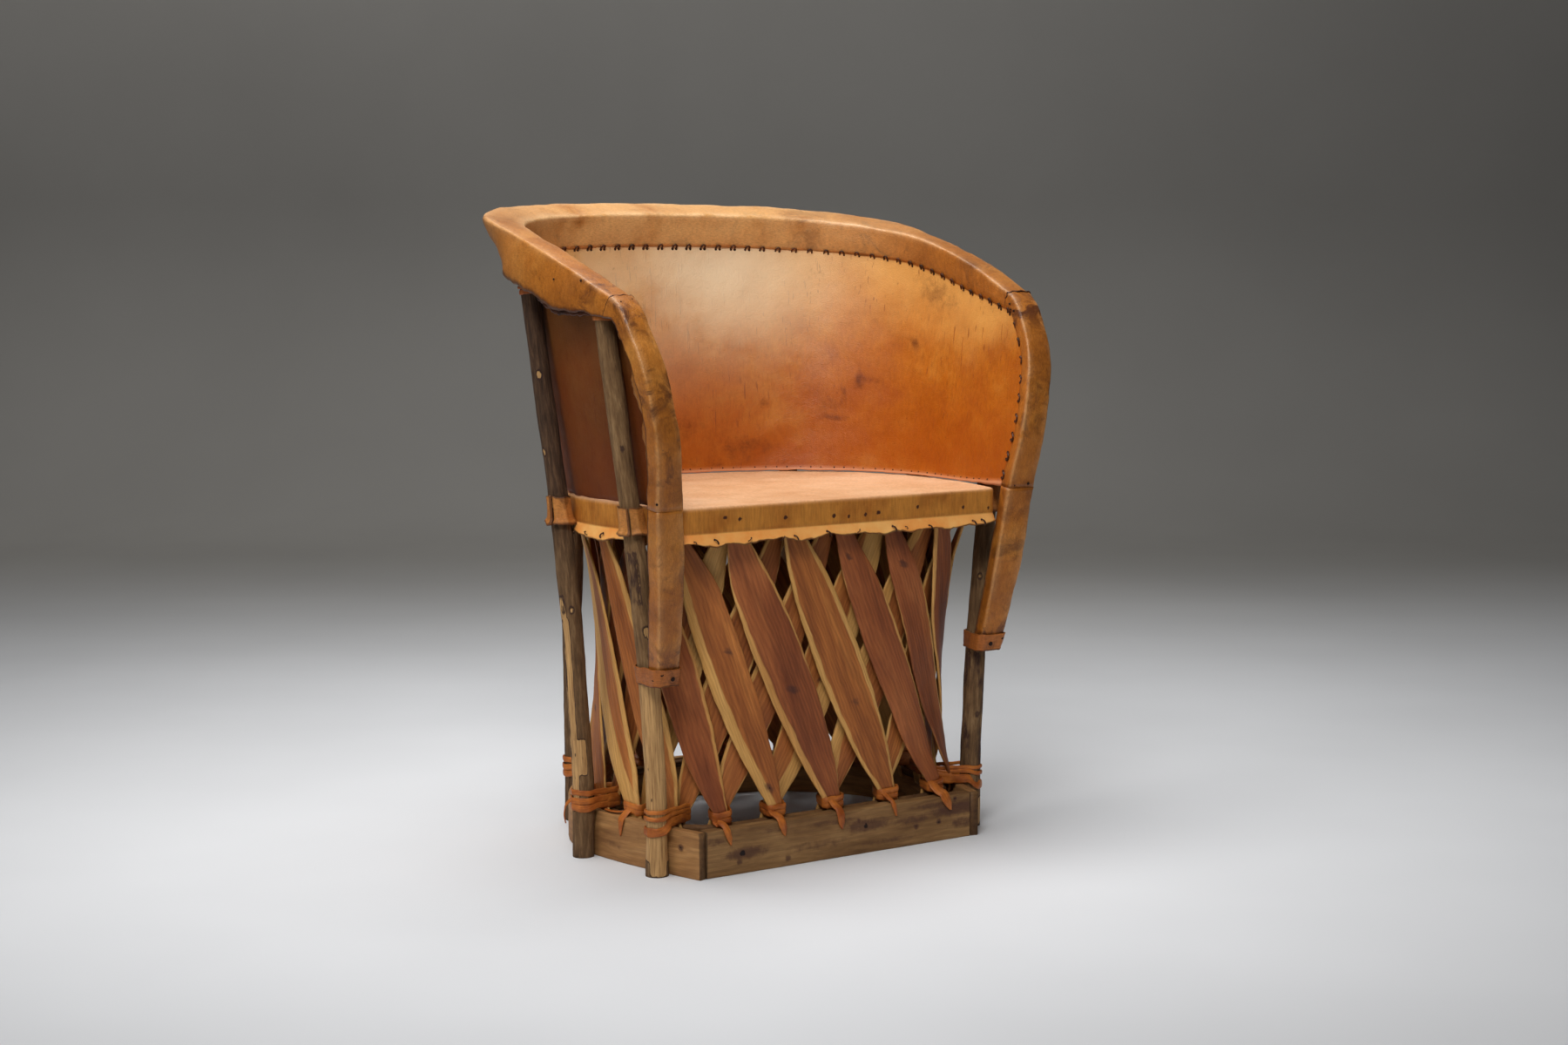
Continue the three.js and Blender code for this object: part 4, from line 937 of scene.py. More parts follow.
def seat_cover():
    """The hide over the seat, down its edge to a torn hem, and back under the seat"""
    outline = closed_outline(side_outline(seat_plan), seat_plan["front"], 14, 440)
    centre, dip = np.array([0, 185]), 2.6
    flat = stacked(*outline.points.T, 0)
    torn = 7.5 * fractal(flat, 42, 21, 2) - 2 + 1.5 * fractal(flat, 9, 22, 2)
    wave = fractal(flat, 120, 23, 2)
    rings = []

    def ring(points, z):
        rings.append(stacked(*points.T, z))

    inset = outline.inset(6).points
    for q in np.linspace(.02, 1, 30) ** .8:
        ring(mix(centre, inset, q), seat_height - .4 - dip * (1 - q * q))
    top = len(rings)
    # From the top's border down: distance in from the outline, drop, and share of the hem's tears
    sections = [(4, -.1, 0), (2.2, -.5, 0), (.9, -1.6, 0), (.2, -3.2, 0), (0, -5.5, 0)]
    sections += [(.35 * math.sin(math.pi * t), mix(-5.5, 1.5 - fascia_height, t), 0)
                 for t in np.linspace(.12, 1, 9)]
    sections += [(.9, -fascia_height, 0)]
    sections += [(.9 - 4.4 * t, -fascia_height - t * (hem_height - 1.5), t ** 1.5)
                 for t in np.linspace(.12, 1, 7)]
    for distance, drop, tear in sections:
        waved = .7 * wave * (drop < -1) * (tear == 0)
        ring(outline.inset(distance).points, seat_height + drop + waved + tear * torn)
    outer = len(rings)
    bottom = rings[-1][:, 2]
    for distance, t in ((-1, 0), (1.5, .5), (3.2, 1)):
        ring(outline.inset(distance).points, mix(bottom, seat_height - fascia_height, t))
    for distance, depth in ((3, 12), (3, 5), (6, leather + .6)):
        ring(outline.inset(distance).points, seat_height - depth)
    under = outline.inset(8).points
    for q in (.98, .7, .4, .03):
        ring(mix(centre, under, q), seat_height - leather - .9 - dip * (1 - q * q))
    grid = np.array(rings)
    ripples = .8 * fractal(grid[:top], 60, 24, 2) + .35 * fractal(grid[:top], 20, 25, 2)
    grid[:top, :, 2] += ripples - .4
    x, y, z = grid.transpose(2, 0, 1)
    row = np.arange(len(grid))[:, None]
    stain = np.zeros_like(z)
    for place, height in seat_nails:
        away = np.hypot(x - place, z - height) + 50 * (y > 30)
        stain = np.maximum(stain, np.exp(-(away / 3.6) ** 2))
    hem = smooth(seat_height - z, fascia_height, fascia_height + 1.5) * (row < outer + 3)
    put_grid("seat_cover", grid, seat_hide, "seat_leather", "seat_leather", hem=hem, worn=0,
             side=smooth(row, top, top + 4) * (row < outer), edge=smooth(row, outer - 3, outer - 1),
             stain=stain)
    return outline


seat_outline = seat_cover()


# ---- wood: places and sections come from the solids' own levels

def solid_levels(name):
    """A solid's corners, grouped by height"""
    points = np.unique(np.round(node_points(name), 2), axis=0)
    points = points[np.argsort(points[:, 2], kind="stable")]
    return np.split(points, np.flatnonzero(np.diff(points[:, 2]) > 1) + 1)


def glide(knots, values, at):
    """Smooth values between knots of uneven spacing"""
    knots, values = np.asarray(knots, float), np.asarray(values, float)
    slopes = np.gradient(values, knots, axis=0)
    i = np.clip(np.searchsorted(knots, at) - 1, 0, len(knots) - 2)
    shape = (-1,) + (1,) * (values.ndim - 1)
    step = (knots[i + 1] - knots[i]).reshape(shape)
    t = (at - knots[i]).reshape(shape) / step
    return ((2 * t ** 3 - 3 * t ** 2 + 1) * values[i] + (t ** 3 - 2 * t ** 2 + t) * step * slopes[i]
            + (-2 * t ** 3 + 3 * t ** 2) * values[i + 1] + (t ** 3 - t ** 2) * step * slopes[i + 1])


def slat_sections(name):
    """Heights, middles, half widths to the viewer's right from outside, and half thickness"""
    sections = []
    for level in solid_levels(name):
        gaps = np.linalg.norm(level[:, None] - level[None], axis=2)
        a, b = np.unravel_index(gaps.argmax(), gaps.shape)
        middle, half = (level[a] + level[b]) / 2, (level[b] - level[a]) / 2
        normal = np.cross(half, up_axis)
        if (normal[:2] * (middle[:2] - drum_middle)).sum() < 0:
            half, normal = -half, -normal
        sections.append((level[0][2], middle, half, np.abs((level - middle) @ unit(normal)).max()))
    return [np.array(part) for part in zip(*sections)]


# Each slat that shows in front: its wood, the sapwood's width along its left and right edge from
# the bottom up, and its knots as height, place across and size
none = (0,) * 7
front_slats = {
    "outer_slat_01": (red_wood, (7, 9, 10, 9, 7, 0, 0), (0, 2, 2, 3, 4, 5, 0), [(215, 2, 5)]),
    "outer_slat_02": (brown_wood, (9, 15, 15, 14, 12, 8, 0), none, [(268, 10, 4), (95, 0, 6)]),
    "outer_slat_03": (red_wood, (0, 0, 0, 0, 4, 7, 8), (0, 4, 5, 5, 3, 0, 0), []),
    "outer_slat_04": (brown_wood, none, (2, 5, 8, 10, 10, 7, 3), [(210, -2, 3)]),
    "outer_slat_05": (brown_wood, (30,) * 7, (6, 8, 8, 8, 6, 4, 4), []),
    "outer_slat_17": (brown_wood, (5, 6, 7, 8, 6, 4, 3), (4, 5, 6, 9, 10, 9, 0), [(190, 4, 5)]),
    "outer_slat_16": (red_wood, none, (0, 0, 2, 5, 5, 0, 0), [(375, -8, 4), (300, 6, 3)]),
    "outer_slat_15": (red_wood, none, (4, 5, 6, 6, 5, 0, 0), [(360, 0, 5)]),
}


def random_slat(rng):
    """A wood, sapwood and knots for a slat that isn't listed"""
    wood = rng.choice([slat_wood, red_wood, brown_wood, brown_wood])
    wide = rng.choice([5, 9, 16, 30])
    sides = [[wide * rng.uniform(.7, 1.2) for _ in range(7)], [rng.uniform(0, 4) for _ in range(7)]]
    if rng.random() < .5:
        sides.reverse()
    knots = [(rng.uniform(90, 400), rng.uniform(-8, 8), rng.uniform(3, 6))
             for _ in range(rng.choice([0, 1, 1, 2]))]
    return wood, *sides, knots


def slat(name, seed):
    """A split slat with wandering edges, a slightly crowned face and dirty ends"""
    rng = random.Random(seed)
    heights, middles, halves, thick = slat_sections(name)
    z = np.linspace(heights[0], heights[-1], 96)
    middle, half, deep = (glide(heights, part, z) for part in (middles, halves, thick))
    width = np.linalg.norm(half, axis=1)
    across = half / width[:, None]
    normal = unit(np.cross(across, up_axis))[:, None]
    left, right = (width + 1.1 * fractal(z, 55, own, 3) + .5 * fractal(z, 12, own + .3, 2)
                   for own in (seed, seed + .5))
    _, c, s = wheel(28)
    x = np.where(c > 0, right[:, None], left[:, None]) * np.sign(c) * np.abs(c) ** .55
    y = deep[:, None] * np.sign(s) * np.abs(s) ** .6
    y = y + .5 * np.sign(s) * (1 - (x / width[:, None]) ** 2).clip(0, 1)
    grid = middle[:, None] + across[:, None] * x[..., None] + normal * y[..., None]
    grid += normal * (.5 * fractal(grid, 30, seed + 1, 2))[..., None]
    wood, sap_left, sap_right, knots = front_slats.get(name) or random_slat(rng)
    places = np.linspace(heights[0], heights[-1], 7)
    left_in = np.interp(z, places, sap_left)[:, None] - (x + left[:, None])
    right_in = np.interp(z, places, sap_right)[:, None] - (right[:, None] - x)
    knot = np.zeros_like(x)
    for height, place, size in knots:
        away = ((z[:, None] - height) / size / 1.3) ** 2 + ((x - place) / size) ** 2
        knot = np.maximum(knot, np.exp(-away))
    ends = np.maximum(smooth(z, 405, 432), smooth(z, 74, 52))
    rim = smooth(np.abs(x) / width[:, None], .93, 1.02) * .45
    shift = [rng.uniform(0, 4) for _ in range(3)]
    put_grid(name.replace("slat", "lath"), grid, wood, name,
             "slat_sapwood" if int(name[-2:]) % 2 else "slat_heartwood",
             grain=stacked(x, y, z[:, None]) * MM + shift, knot=knot,
             sapwood=(np.maximum(left_in, right_in) - .6) * MM,
             edge=np.maximum(ends[:, None] * .7, rim))


for number in range(1, 18):
    slat("outer_slat_%02d" % number, 100 + number)
    slat("inner_slat_%02d" % number, 200 + number)


def pole(name, seed, dark, peel, knots):
    """A stick in its bark, with ridges, knots, and peeled places that lie a little deeper"""
    levels = solid_levels(name)
    heights = np.array([level[0][2] for level in levels])
    middles = np.array([level.mean(0) for level in levels])
    radii = [np.linalg.norm(level - level.mean(0), axis=1).mean() for level in levels]
    z = np.linspace(0, heights[-1], int(heights[-1] / 3.4))
    middle, radius = glide(heights, middles, z), np.interp(z, heights, radii)
    turn, c, s = wheel(34)
    usual_radius = 13
    up = z[:, None]
    sample = stacked(c * usual_radius, s * usual_radius, up)
    swell = 1.0 * fractal(sample * [1, 1, .7], 60, seed, 2)
    swell = swell + .55 * fractal(sample * [1, 1, .16], 7, seed + 1, 3)
    peeled, bare = np.zeros_like(swell), np.zeros_like(swell)

    def turned(angle):
        return (turn - math.radians(angle) + math.pi) % (2 * math.pi) - math.pi

    for low, high, angle, spread, amount in peel:
        spread = math.radians(spread)
        beside = 1 - smooth(np.abs(turned(angle)), spread * .7, spread)
        level = smooth(up, low - 6, low + 6) * (1 - smooth(up, high - 6, high + 6))
        peeled = np.maximum(peeled, amount * beside * level)
    swell -= .7 * smooth(peeled, .3, .8)
    for height, angle, size in knots:
        away = np.hypot((up - height) / 1.5, turned(angle) * usual_radius)
        swell += 1.8 * np.exp(-(away / size) ** 2) - 1.6 * np.exp(-(away / size * 2.4) ** 2)
        bare = np.maximum(bare, .5 * np.exp(-(away / size) ** 2))
    grid = middle[:, None] + stacked(c, s, 0) * (radius[:, None] + swell)[..., None]
    grid[..., 2] = up
    put_grid(name.replace("pole", "stick"), grid, bark, name, "pole_bark",
             grain=(sample + [seed * 31, seed * 17, seed * 230]) * MM,
             dark=np.interp(z, *zip(*dark))[:, None], peel=np.maximum(peeled, bare))


# Each stick: how dark its bark is at some heights. Peeled places as from and to a height, direction
# in degrees from +X, half its spread and how bare. Knots as height, direction and size
pole("pole_front_left", 1, [(0, .4), (60, .1), (250, 0), (420, 0), (600, .1)],
     [(18, 246, 265, 150, .62), (42, 84, 236, 48, 1.3), (0, 30, 250, 60, .6),
      (330, 400, 200, 60, .36)],
     [(232, 200, 5), (300, 250, 7), (520, 240, 6)])
pole("pole_front_right", 2, [(0, .4), (250, .3), (450, .5), (620, .8)],
     [(60, 235, 240, 120, .28), (0, 40, 270, 90, .5)], [(150, 260, 6), (330, 230, 6)])
pole("pole_side_left", 3, [(0, .6), (40, .35), (330, .4), (450, .9), (740, 1)],
     [(70, 330, 170, 55, .42), (105, 150, 240, 32, .75), (60, 300, 200, 26, .8)],
     [(120, 240, 6), (310, 250, 6), (440, 210, 7), (600, 230, 6), (505, 190, 5)])
pole("pole_side_right", 4, [(0, .5), (250, .4), (450, .8), (740, 1)],
     [(80, 260, 0, 60, .4)], [(200, 20, 6), (560, 340, 6)])
pole("pole_back_left", 5, [(0, .5), (400, .6), (740, 1)], [(70, 200, 100, 60, .4)], [(260, 120, 6)])
pole("pole_back_right", 6, [(0, .5), (400, .6), (740, 1)], [(120, 320, 80, 60, .4)], [(180, 60, 6)])


no_sapwood = -.02


def plank(name, node, path, thickness, seed, knots, wood):
    """A plank on edge along a path of x and y, from the floor up, with slightly rounded edges"""
    height = base_height
    half, r = thickness / 2, 1.5
    flat = half - r
    face = [(half, z) for z in np.linspace(r, height - r, 18)]
    face += arc(flat, height - r, r, 0, 1, 5)[1:-1]
    top = [(d, height) for d in np.linspace(flat, -flat, 5)]
    bottom = arc(-flat, r, r, 2, 3, 5)[1:-1] + [(d, 0) for d in np.linspace(-flat, flat, 5)]
    bottom += arc(flat, r, r, -1, 0, 5)[1:-1]
    d, z = np.array(face + top + [(-d, z) for d, z in face[::-1]] + bottom).T
    along = path.lengths[:, None]
    grid = stacked(*(path.points[:, None] + path.normals[:, None]
                     * (path.reaches[:, None] * d)[..., None]).transpose(2, 0, 1), z)
    rough = .55 * fractal(grid, 40, seed, 2) + .22 * fractal(grid, 9, seed + 1, 2)
    grid[..., :2] += path.normals[:, None] * (rough * np.sign(d))[..., None]
    lower = (.9 * fractal(path.lengths, 60, seed + 2, 3) - .5).clip(-3, .3)[:, None]
    grid[..., 2] += (z > height / 2) * lower * smooth(z, height * .7, height)
    knot = np.zeros(grid.shape[:2])
    place = grid[..., 0] if wood is board_wood else along
    for x, up, wide, tall, amount in knots:
        away = ((place - x) / wide) ** 2 + ((grid[..., 2] - up) / tall) ** 2
        knot = np.maximum(knot, np.minimum(1.35 * amount * np.exp(-away), amount) * (d > 0))
    length = path.lengths[-1]
    ends = np.maximum(smooth(along, 3, 0), smooth(along, length - 3, length))
    rims = np.maximum(smooth(z, 4, 0), smooth(z, height - 4, height)) * .5
    put_grid(name, grid, wood, node, "base_board", knot=knot, sapwood=no_sapwood,
             grain=stacked(z, d, along) * MM + [seed, seed * .3, seed * .7],
             edge=np.maximum(ends, rims))


board_low, board_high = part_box("base_front_board")
board_half, board_thick = board_high[0] / MM, (board_high[1] - board_low[1]) / MM
board_line = stacked(np.linspace(board_half, -board_half, 240), board_thick / 2)
# Knots and dark streaks, as place along the plank, height, half length, half height and amount
plank("front_board", "base_front_board", Outline(board_line, False), board_thick, 41,
      [(-144, 25, 34, 8, .7), (-190, 44, 20, 5, .5), (70, 12, 50, 4, .5), (190, 20, 26, 7, .6),
       (-10, 46, 44, 4, .5), (-100, 48, 30, 4, .45), (140, 48, 36, 4, .5), (-150, 25, 5, 4, 1.3),
       (-155, 15, 4, 4, .8), (37, 35, 38, 8, .7), (35, 35, 4, 3, 1.2), (114, 23, 4, 3, .9),
       (-83, 10, 5, 4, .7), (178, 39, 44, 9, .72), (110, 33, 32, 6, .6), (24, 42, 3, 2.5, 1),
       (-40, 20, 60, 7, .4), (150, 25, 4, 3, 1), (176, 52, 3, 3, 1)], board_wood)
hoop_path = side_outline(base_plan, 64).inset(side_thickness / 2).even(420)
plank("side_hoop", "base_side_hoop", hoop_path, side_thickness, 47,
      [(30, 36, 4, 4, 1), (70, 38, 26, 8, .35), (100, 44, 12, 12, .3), (150, 20, 40, 6, .3),
       (62, 49, 3, 3, 1.1)], hoop_board_wood)


# ---- hoops and rings, smoother copies of the solids

def refined(name, new_name, size, height, seed):
    """A solid's own mesh, joined and subdivided, with a rough surface and grain along the ring"""
    work = bmesh.new()
    work.from_mesh(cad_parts[name].data)
    bmesh.ops.remove_doubles(work, verts=work.verts, dist=2e-5)
    mesh = bpy.data.meshes.new("work")
    work.to_mesh(mesh)
    work.free()
    piece = bpy.data.objects.new("work", mesh)
    bpy.context.scene.collection.objects.link(piece)
    piece.modifiers.new("fine", "SUBSURF").levels = 2
    evaluated = piece.evaluated_get(bpy.context.evaluated_depsgraph_get())
    fine = evaluated.to_mesh()
    points = np.array([v.co for v in fine.vertices])
    normals = np.array([v.normal for v in fine.vertices])
    faces = [list(p.vertices) for p in fine.polygons]
    evaluated.to_mesh_clear()
    bpy.data.objects.remove(piece)
    bpy.data.meshes.remove(mesh)
    points[:, 1] -= face_depth
    points /= MM
    points += normals * (height * fractal(points, size, seed, 3) + height * .6)[:, None]
    off = points[:, :2] - drum_middle
    usual_radius = 230
    along = np.arctan2(off[:, 0], -off[:, 1]) * usual_radius
    grain = stacked(np.linalg.norm(off, axis=1), points[:, 2], along) * MM
    zero = np.zeros(len(points))
    put(new_name, points, faces, hoop_wood, replaces=[name], slot="hoop_wood",
        grain=grain + [seed * .11, 0, seed * .7], sapwood=zero + no_sapwood, knot=zero, edge=zero)


refined("lower_ring", "lower_withe", 14, .4, 51)
refined("upper_ring", "upper_withe", 14, .4, 52)
refined("seat_hoop", "seat_withe", 20, .5, 53)
refined("rim_hoop", "rim_withe", 20, .5, 54)


# ---- straps and thongs

def ribbon(path, widths, thick, facing, closed=False, twist=None):
    """A flat strip along a path, square to the facing direction, and its material's values"""
    path = np.asarray(path, float)
    if closed:
        ahead = np.roll(path, -1, 0) - np.roll(path, 1, 0)
    else:
        ahead = np.gradient(path, axis=0)
    ahead = unit(ahead)
    side = unit(np.cross(np.broadcast_to(facing, path.shape), ahead))
    face = np.cross(ahead, side)
    if twist is not None:
        c, s = np.cos(twist)[:, None], np.sin(twist)[:, None]
        side, face = side * c + face * s, face * c - side * s
    _, c, s = wheel(16)
    x = np.sign(c) * np.abs(c) ** .6 * np.broadcast_to(widths, len(path))[:, None] / 2
    crown = 1 - .35 * (np.abs(c) ** .6) ** 2
    y = np.sign(s) * np.abs(s) ** .7 * thick / 2
    grid = path[:, None] + side[:, None] * x[..., None] + face[:, None] * (y * crown)[:, None]
    along = run(path)
    return grid, stacked(x, along[:, None], y) * MM, smooth(np.abs(c) ** .6, .8, 1) * .45


def round_path(points, count):
    """A smooth curve through points, evenly spaced"""
    points = np.asarray(points, float)
    gaps = np.linalg.norm(np.diff(points, axis=0), axis=1)
    knots = np.append(0, np.cumsum(np.maximum(gaps, 1e-3) ** .7))
    fine = glide(knots, points, np.linspace(0, knots[-1], count * 4 + 1))
    length = run(fine)
    goals = np.linspace(0, length[-1], count)
    return stacked(*(np.interp(goals, length, axis) for axis in fine.T))


def hull(points):
    """The convex outline of points in the plane"""
    points = sorted(map(tuple, np.round(points, 4)))

    def half(rows):
        chain = []
        for p in rows:
            while len(chain) > 1:
                (x0, y0), (x1, y1) = chain[-2:]
                if (x1 - x0) * (p[1] - y0) - (y1 - y0) * (p[0] - x0) > 0:
                    break
                chain.pop()
            chain.append(p)
        return chain
    return np.array(half(points)[:-1] + half(points[::-1])[:-1])


def around_hull(points, gap, count):
    """An even closed curve that goes round points with a gap, with rounded corners"""
    _, c, s = wheel(16)
    ring = points[:, None] + gap * stacked(c, s)
    return Outline(hull(ring.reshape(-1, 2)), True).even(count).points


base_side = side_outline(base_plan, 24)


def beyond_base(points):
    """How far each point of the plane lies outside the base's hoop, in millimetres, 0 inside"""
    gaps = np.linalg.norm(points[:, None] - base_side.points[None], axis=2)
    i = gaps.argmin(1)
    return ((points - base_side.points[i]) * base_side.normals[i]).sum(1).clip(0, 60)


def section_at(name, height):
    """Corners of a slat's or stick's section at a height"""
    levels = solid_levels(name)
    heights = [level[0][2] for level in levels]
    i = min(max(int(np.searchsorted(heights, height)) - 1, 0), len(levels) - 2)
    t = (height - heights[i]) / (heights[i + 1] - heights[i])
    ends = []
    for level in levels[i:i + 2]:
        off = level - level.mean(0)
        ends.append(level.mean(0) + off[np.argsort(np.arctan2(off[:, 1], off[:, 0]))])
    return mix(*ends, t)[:, :2]


def lash(heap, points, gap, height, width, thick, seed, lean=(0, 0), drop=0.0, uneven=.7):
    """One turn of thong round points at a height. It drops where it lies outside the base's hoop"""
    ring = around_hull(points, gap, 72)
    out = ring - ring.mean(0)
    line = stacked(*ring.T, 0)
    z = height + out @ np.array(lean) + uneven * fractal(line, 14, seed, 2)
    z -= drop * smooth(beyond_base(ring), 3, 20)
    ring = ring + unit(out) * .35 * fractal(line, 9, seed + 2, 2)[:, None]
    widths = width * (1 + .13 * fractal(line, 11, seed + 3, 2))
    grid, strand, edge = ribbon(stacked(*ring.T, z), widths, thick, stacked(*out.T, 0), closed=True)
    grid, strand = np.append(grid, grid[:1], 0), np.append(strand, strand[:1], 0)
    strand[-1, :, 1] = 2 * strand[-2, :, 1] - strand[-3, :, 1]
    heap.add(grid, caps=False, strand=strand + [seed * .13, 0, 0], edge=edge)


def strip(heap, points, widths, thick, facing, seed, twist=0.0):
    """An open piece of thong through points, with widths from its start to its end"""
    count = 28
    path = round_path(points, count)
    path += .25 * stacked(*(fractal(path, 7, seed + k, 2) for k in range(3)))
    t = np.linspace(0, 1, count)
    widths = np.interp(t, np.linspace(0, 1, len(widths)), widths)
    grid, strand, edge = ribbon(path, widths, thick, facing, twist=twist * t)
    heap.add(grid, strand=strand + [seed * .13, 0, 0], edge=edge)


# The stick beside a slat of each number. Slats 1 to 9 and their sticks belong to the left thong
poles_at = {4: "pole_front_left", 6: "pole_side_left", 8: "pole_back_left",
            15: "pole_front_right", 13: "pole_side_right", 11: "pole_back_right"}
last_left = 9
tie_height = 67
# Turns round slats and a stick, as height, width, drop and gap
front_turns = ((65.5, 11.5, 9.5, 1.4), (75, 5.5, 4, 1.6), (80.5, 5, 1, 1.3))
other_turns = ((66, 9, 3, 1.4), (74, 8, 2, 1.7), (82.5, 7, 0, 1.3))
lashings = {"left": Heap(), "right": Heap()}


def lashing_at(number):
    return lashings["left" if number <= last_left else "right"]


for number in range(1, 18):
    heap = lashing_at(number)
    rng = random.Random(300 + number)
    pair = np.concatenate([section_at("%s_slat_%02d" % (layer, number), tie_height)
                           for layer in ("outer", "inner")])
    lash(heap, pair, 1.9, 65.5, 8.5, 3.2, number, (rng.uniform(-.05, .05), .12), uneven=.5)
    lash(heap, pair, 2.3, 71.5, 8, 3, number + 40, (rng.uniform(-.16, .16), .05), uneven=.8)
    if number in poles_at:
        every = np.append(pair, section_at(poles_at[number], tie_height), 0)
        turns = front_turns if "front" in poles_at[number] else other_turns
        for k, (height, wide, drop, gap) in enumerate(turns):
            lash(heap, every, gap + .4, height, wide, 3, number * 3 + k,
                 (rng.uniform(-.03, .03), rng.uniform(-.03, .03)), drop, .8)

# Loose ends over the front board, as slat, place and height at the start and at the end, and width
tails = ((1, -7, 72, -3, 36, 8.5), (2, -97, 69, -89, 39, 8.5), (17, 74, 71, 81, 42, 5),
         (16, 152, 74, 168, 39, 11), (3, -178, 64, -168, 38, 7))
for number, x0, z0, x1, z1, wide in tails:
    y0 = section_at("outer_slat_%02d" % number, tie_height)[:, 1].min() - 1.5
    points = [(x0 + 2, y0 + 3, z0), (x0 + 1, y0 - 1.5, z0 - 3),
              (mix(x0, x1, .2), mix(y0, -1, .5), 64), (mix(x0, x1, .4), 1.2, base_height + 2.3),
              (mix(x0, x1, .5), -1.7, base_height - 3),
              (mix(x0, x1, .75), -2, mix(base_height, z1, .5)), (x1, -1.5, z1)]
    widths = [wide * share for share in (1.04, 1.3, 1.3, 1.3, 1.365, 1.105)] + [2]
    strip(lashing_at(number), points, widths, 3.4, (0, -1, .6), number + 70)
# Loose ends over the side hoop, as slat and how far in they start
for number, away in ((5, 22), (14, 20)):
    start = section_at("outer_slat_%02d" % number, tie_height).mean(0)
    i = np.linalg.norm(base_side.points - start, axis=1).argmin()
    place, out = base_side.points[i], base_side.normals[i]
    aside = np.array([out[1], -out[0]])
    over = ((-away, 0, 70), (-9, 1, 65), (-3, 2, base_height + 2.2), (1.6, 3, base_height - 3),
            (1.8, 4, base_height - 12), (1.4, 5, base_height - 24))
    inside = ((-14, 4, 66), (-9, 14, 61.5), (-7, 30, 60), (-8, 44, 60))
    for spots, widths, thick, facing, seed in (
            (over, [8, 10, 11, 11, 7, 1.5], 2.2, (*out, .6), number + 80),
            (inside, [5, 7, 6, 4], 2, (0, 0, 1), number + 81)):
        points = [(*(place + out * d + aside * along), z) for d, along, z in spots]
        strip(lashing_at(number), points, widths, thick, facing, seed)
# The loose end at the left side stick
strip(lashings["left"], [(-279, 190, 74), (-284, 196, 66), (-285, 199, 52), (-284, 197, 42)],
      [6, 6, 5, 2], 1.8, (-1, .2, 0), 96, twist=.5)
for side, heap in lashings.items():
    heap.put("thong_ties_" + side, thong, replaces=["base_thong_" + side], slot="thong_leather")


# ---- collars

def collar(name, new_name, material, slot, seed, seam, flare, roll, overlap, tear, top_edge):
    """A strap of leather wound once round, its end lapped over its start, its lower edge rolled"""
    levels = solid_levels(name)
    rows, count, thick = 22, 90, 2.4
    rings = []
    for level in (levels[0], levels[-1]):
        ring = around_hull(level[:, :2], .1, count)
        x, y = (ring - ring.mean(0)).T
        turned = (np.arctan2(y, x) - seam + math.pi) % (2 * math.pi) - math.pi
        rings.append(stacked(*np.roll(ring, -np.argmin(np.abs(turned)), 0).T, level[0][2]))
    t = np.linspace(0, 1, count)
    outer, inner = [], []
    for k in range(rows):
        up = k / (rows - 1)
        ring = mix(*rings, up)
        out = unit((ring - ring.mean(0)) * [1, 1, 0])
        lift = overlap * smooth(t, .9, .985) + .5 * fractal(ring, 22, seed, 3)
        lift = lift + flare * (1 - up) ** 3 + roll * math.exp(-((up - .06) / .08) ** 2)
        torn = tear * fractal(ring * [1, 1, 0], 16, seed + 4, 3)
        ring[:, 2] += torn * (1 - up) ** 2 - .8 * torn * up ** 4
        outer.append(ring + out * lift[:, None])
        inner.append(ring + out * (lift - thick)[:, None])
    grid = np.array(outer + inner[::-1]).transpose(1, 0, 2)
    edge_rows = [max(1 - k / 4, 0, top_edge * (1 - (rows - 1 - k) / 2)) for k in range(rows)]
    edge = np.append(edge_rows, np.full(rows, .8)) + np.zeros((count, 1))
    edge[-3:] = edge[-3:].clip(.8)
    usual_girth = 110
    put_grid(new_name, grid, material, name, slot, edge=edge, worn=.1, crack=0,
             rail=stacked(grid[..., 2], t[:, None] * usual_girth, seed * 10) * MM)


# The seams' directions are in radians
for name, seed, seam in (("front_left", 60, -2.2), ("side_left", 61, -2.6),
                         ("front_right", 65, -1.0), ("side_right", 66, -1.0)):
    collar("seat_collar_" + name, "cuff_" + name, post_hide, "seat_leather", seed, seam,
           flare=3.4, roll=2.4, overlap=2.4, tear=2.6, top_edge=1)
for name, seed in (("left", 70), ("right", 71)):
    collar("tip_collar_" + name, "tip_band_" + name, cuff_hide, "thong_leather", seed, 1.4,
           flare=-2.6, roll=1.2, overlap=1.2, tear=1.4, top_edge=0)


# ---- stitches, nails, laces, torn hide and painted shadow under the arms' skirts

def bead(heap, at, normal, radius, height):
    """A small low dome, such as a hole's dark mouth or a nail's head"""
    normal = unit(np.asarray(normal, float))
    side = unit(np.cross(normal, (.3, .5, .81)))
    _, c, s = wheel(10)
    ring = c[:, None] * side + s[:, None] * np.cross(normal, side)
    domes = ((1, -.6), (1, 0), (.9, .55), (.6, .88), (.2, 1))
    heap.add(np.array([at + ring * radius * r + normal * height * h for r, h in domes]),
             strand=(0, 0, 0), edge=0)


def loop(heap, points, radius, seed, count=14):
    """A bent piece of thread with closed ends"""
    t = np.linspace(-1, 1, count)
    grid, strand, _ = ribbon(round_path(points, count), 2 * radius * (1 - .35 * np.abs(t) ** 3),
                             1.7 * radius, (.2, .3, .93))
    heap.add(grid, strand=strand + [seed * .01, 0, 0], edge=0)


def spaced(first, last, pitch, place):
    """Numbers along the rail at an even pitch of a point that each number places"""
    numbers = np.linspace(first, last, 600)
    length = run([place(n) for n in numbers])
    return np.interp(np.linspace(0, length[-1], int(length[-1] / pitch) + 1), length, numbers)


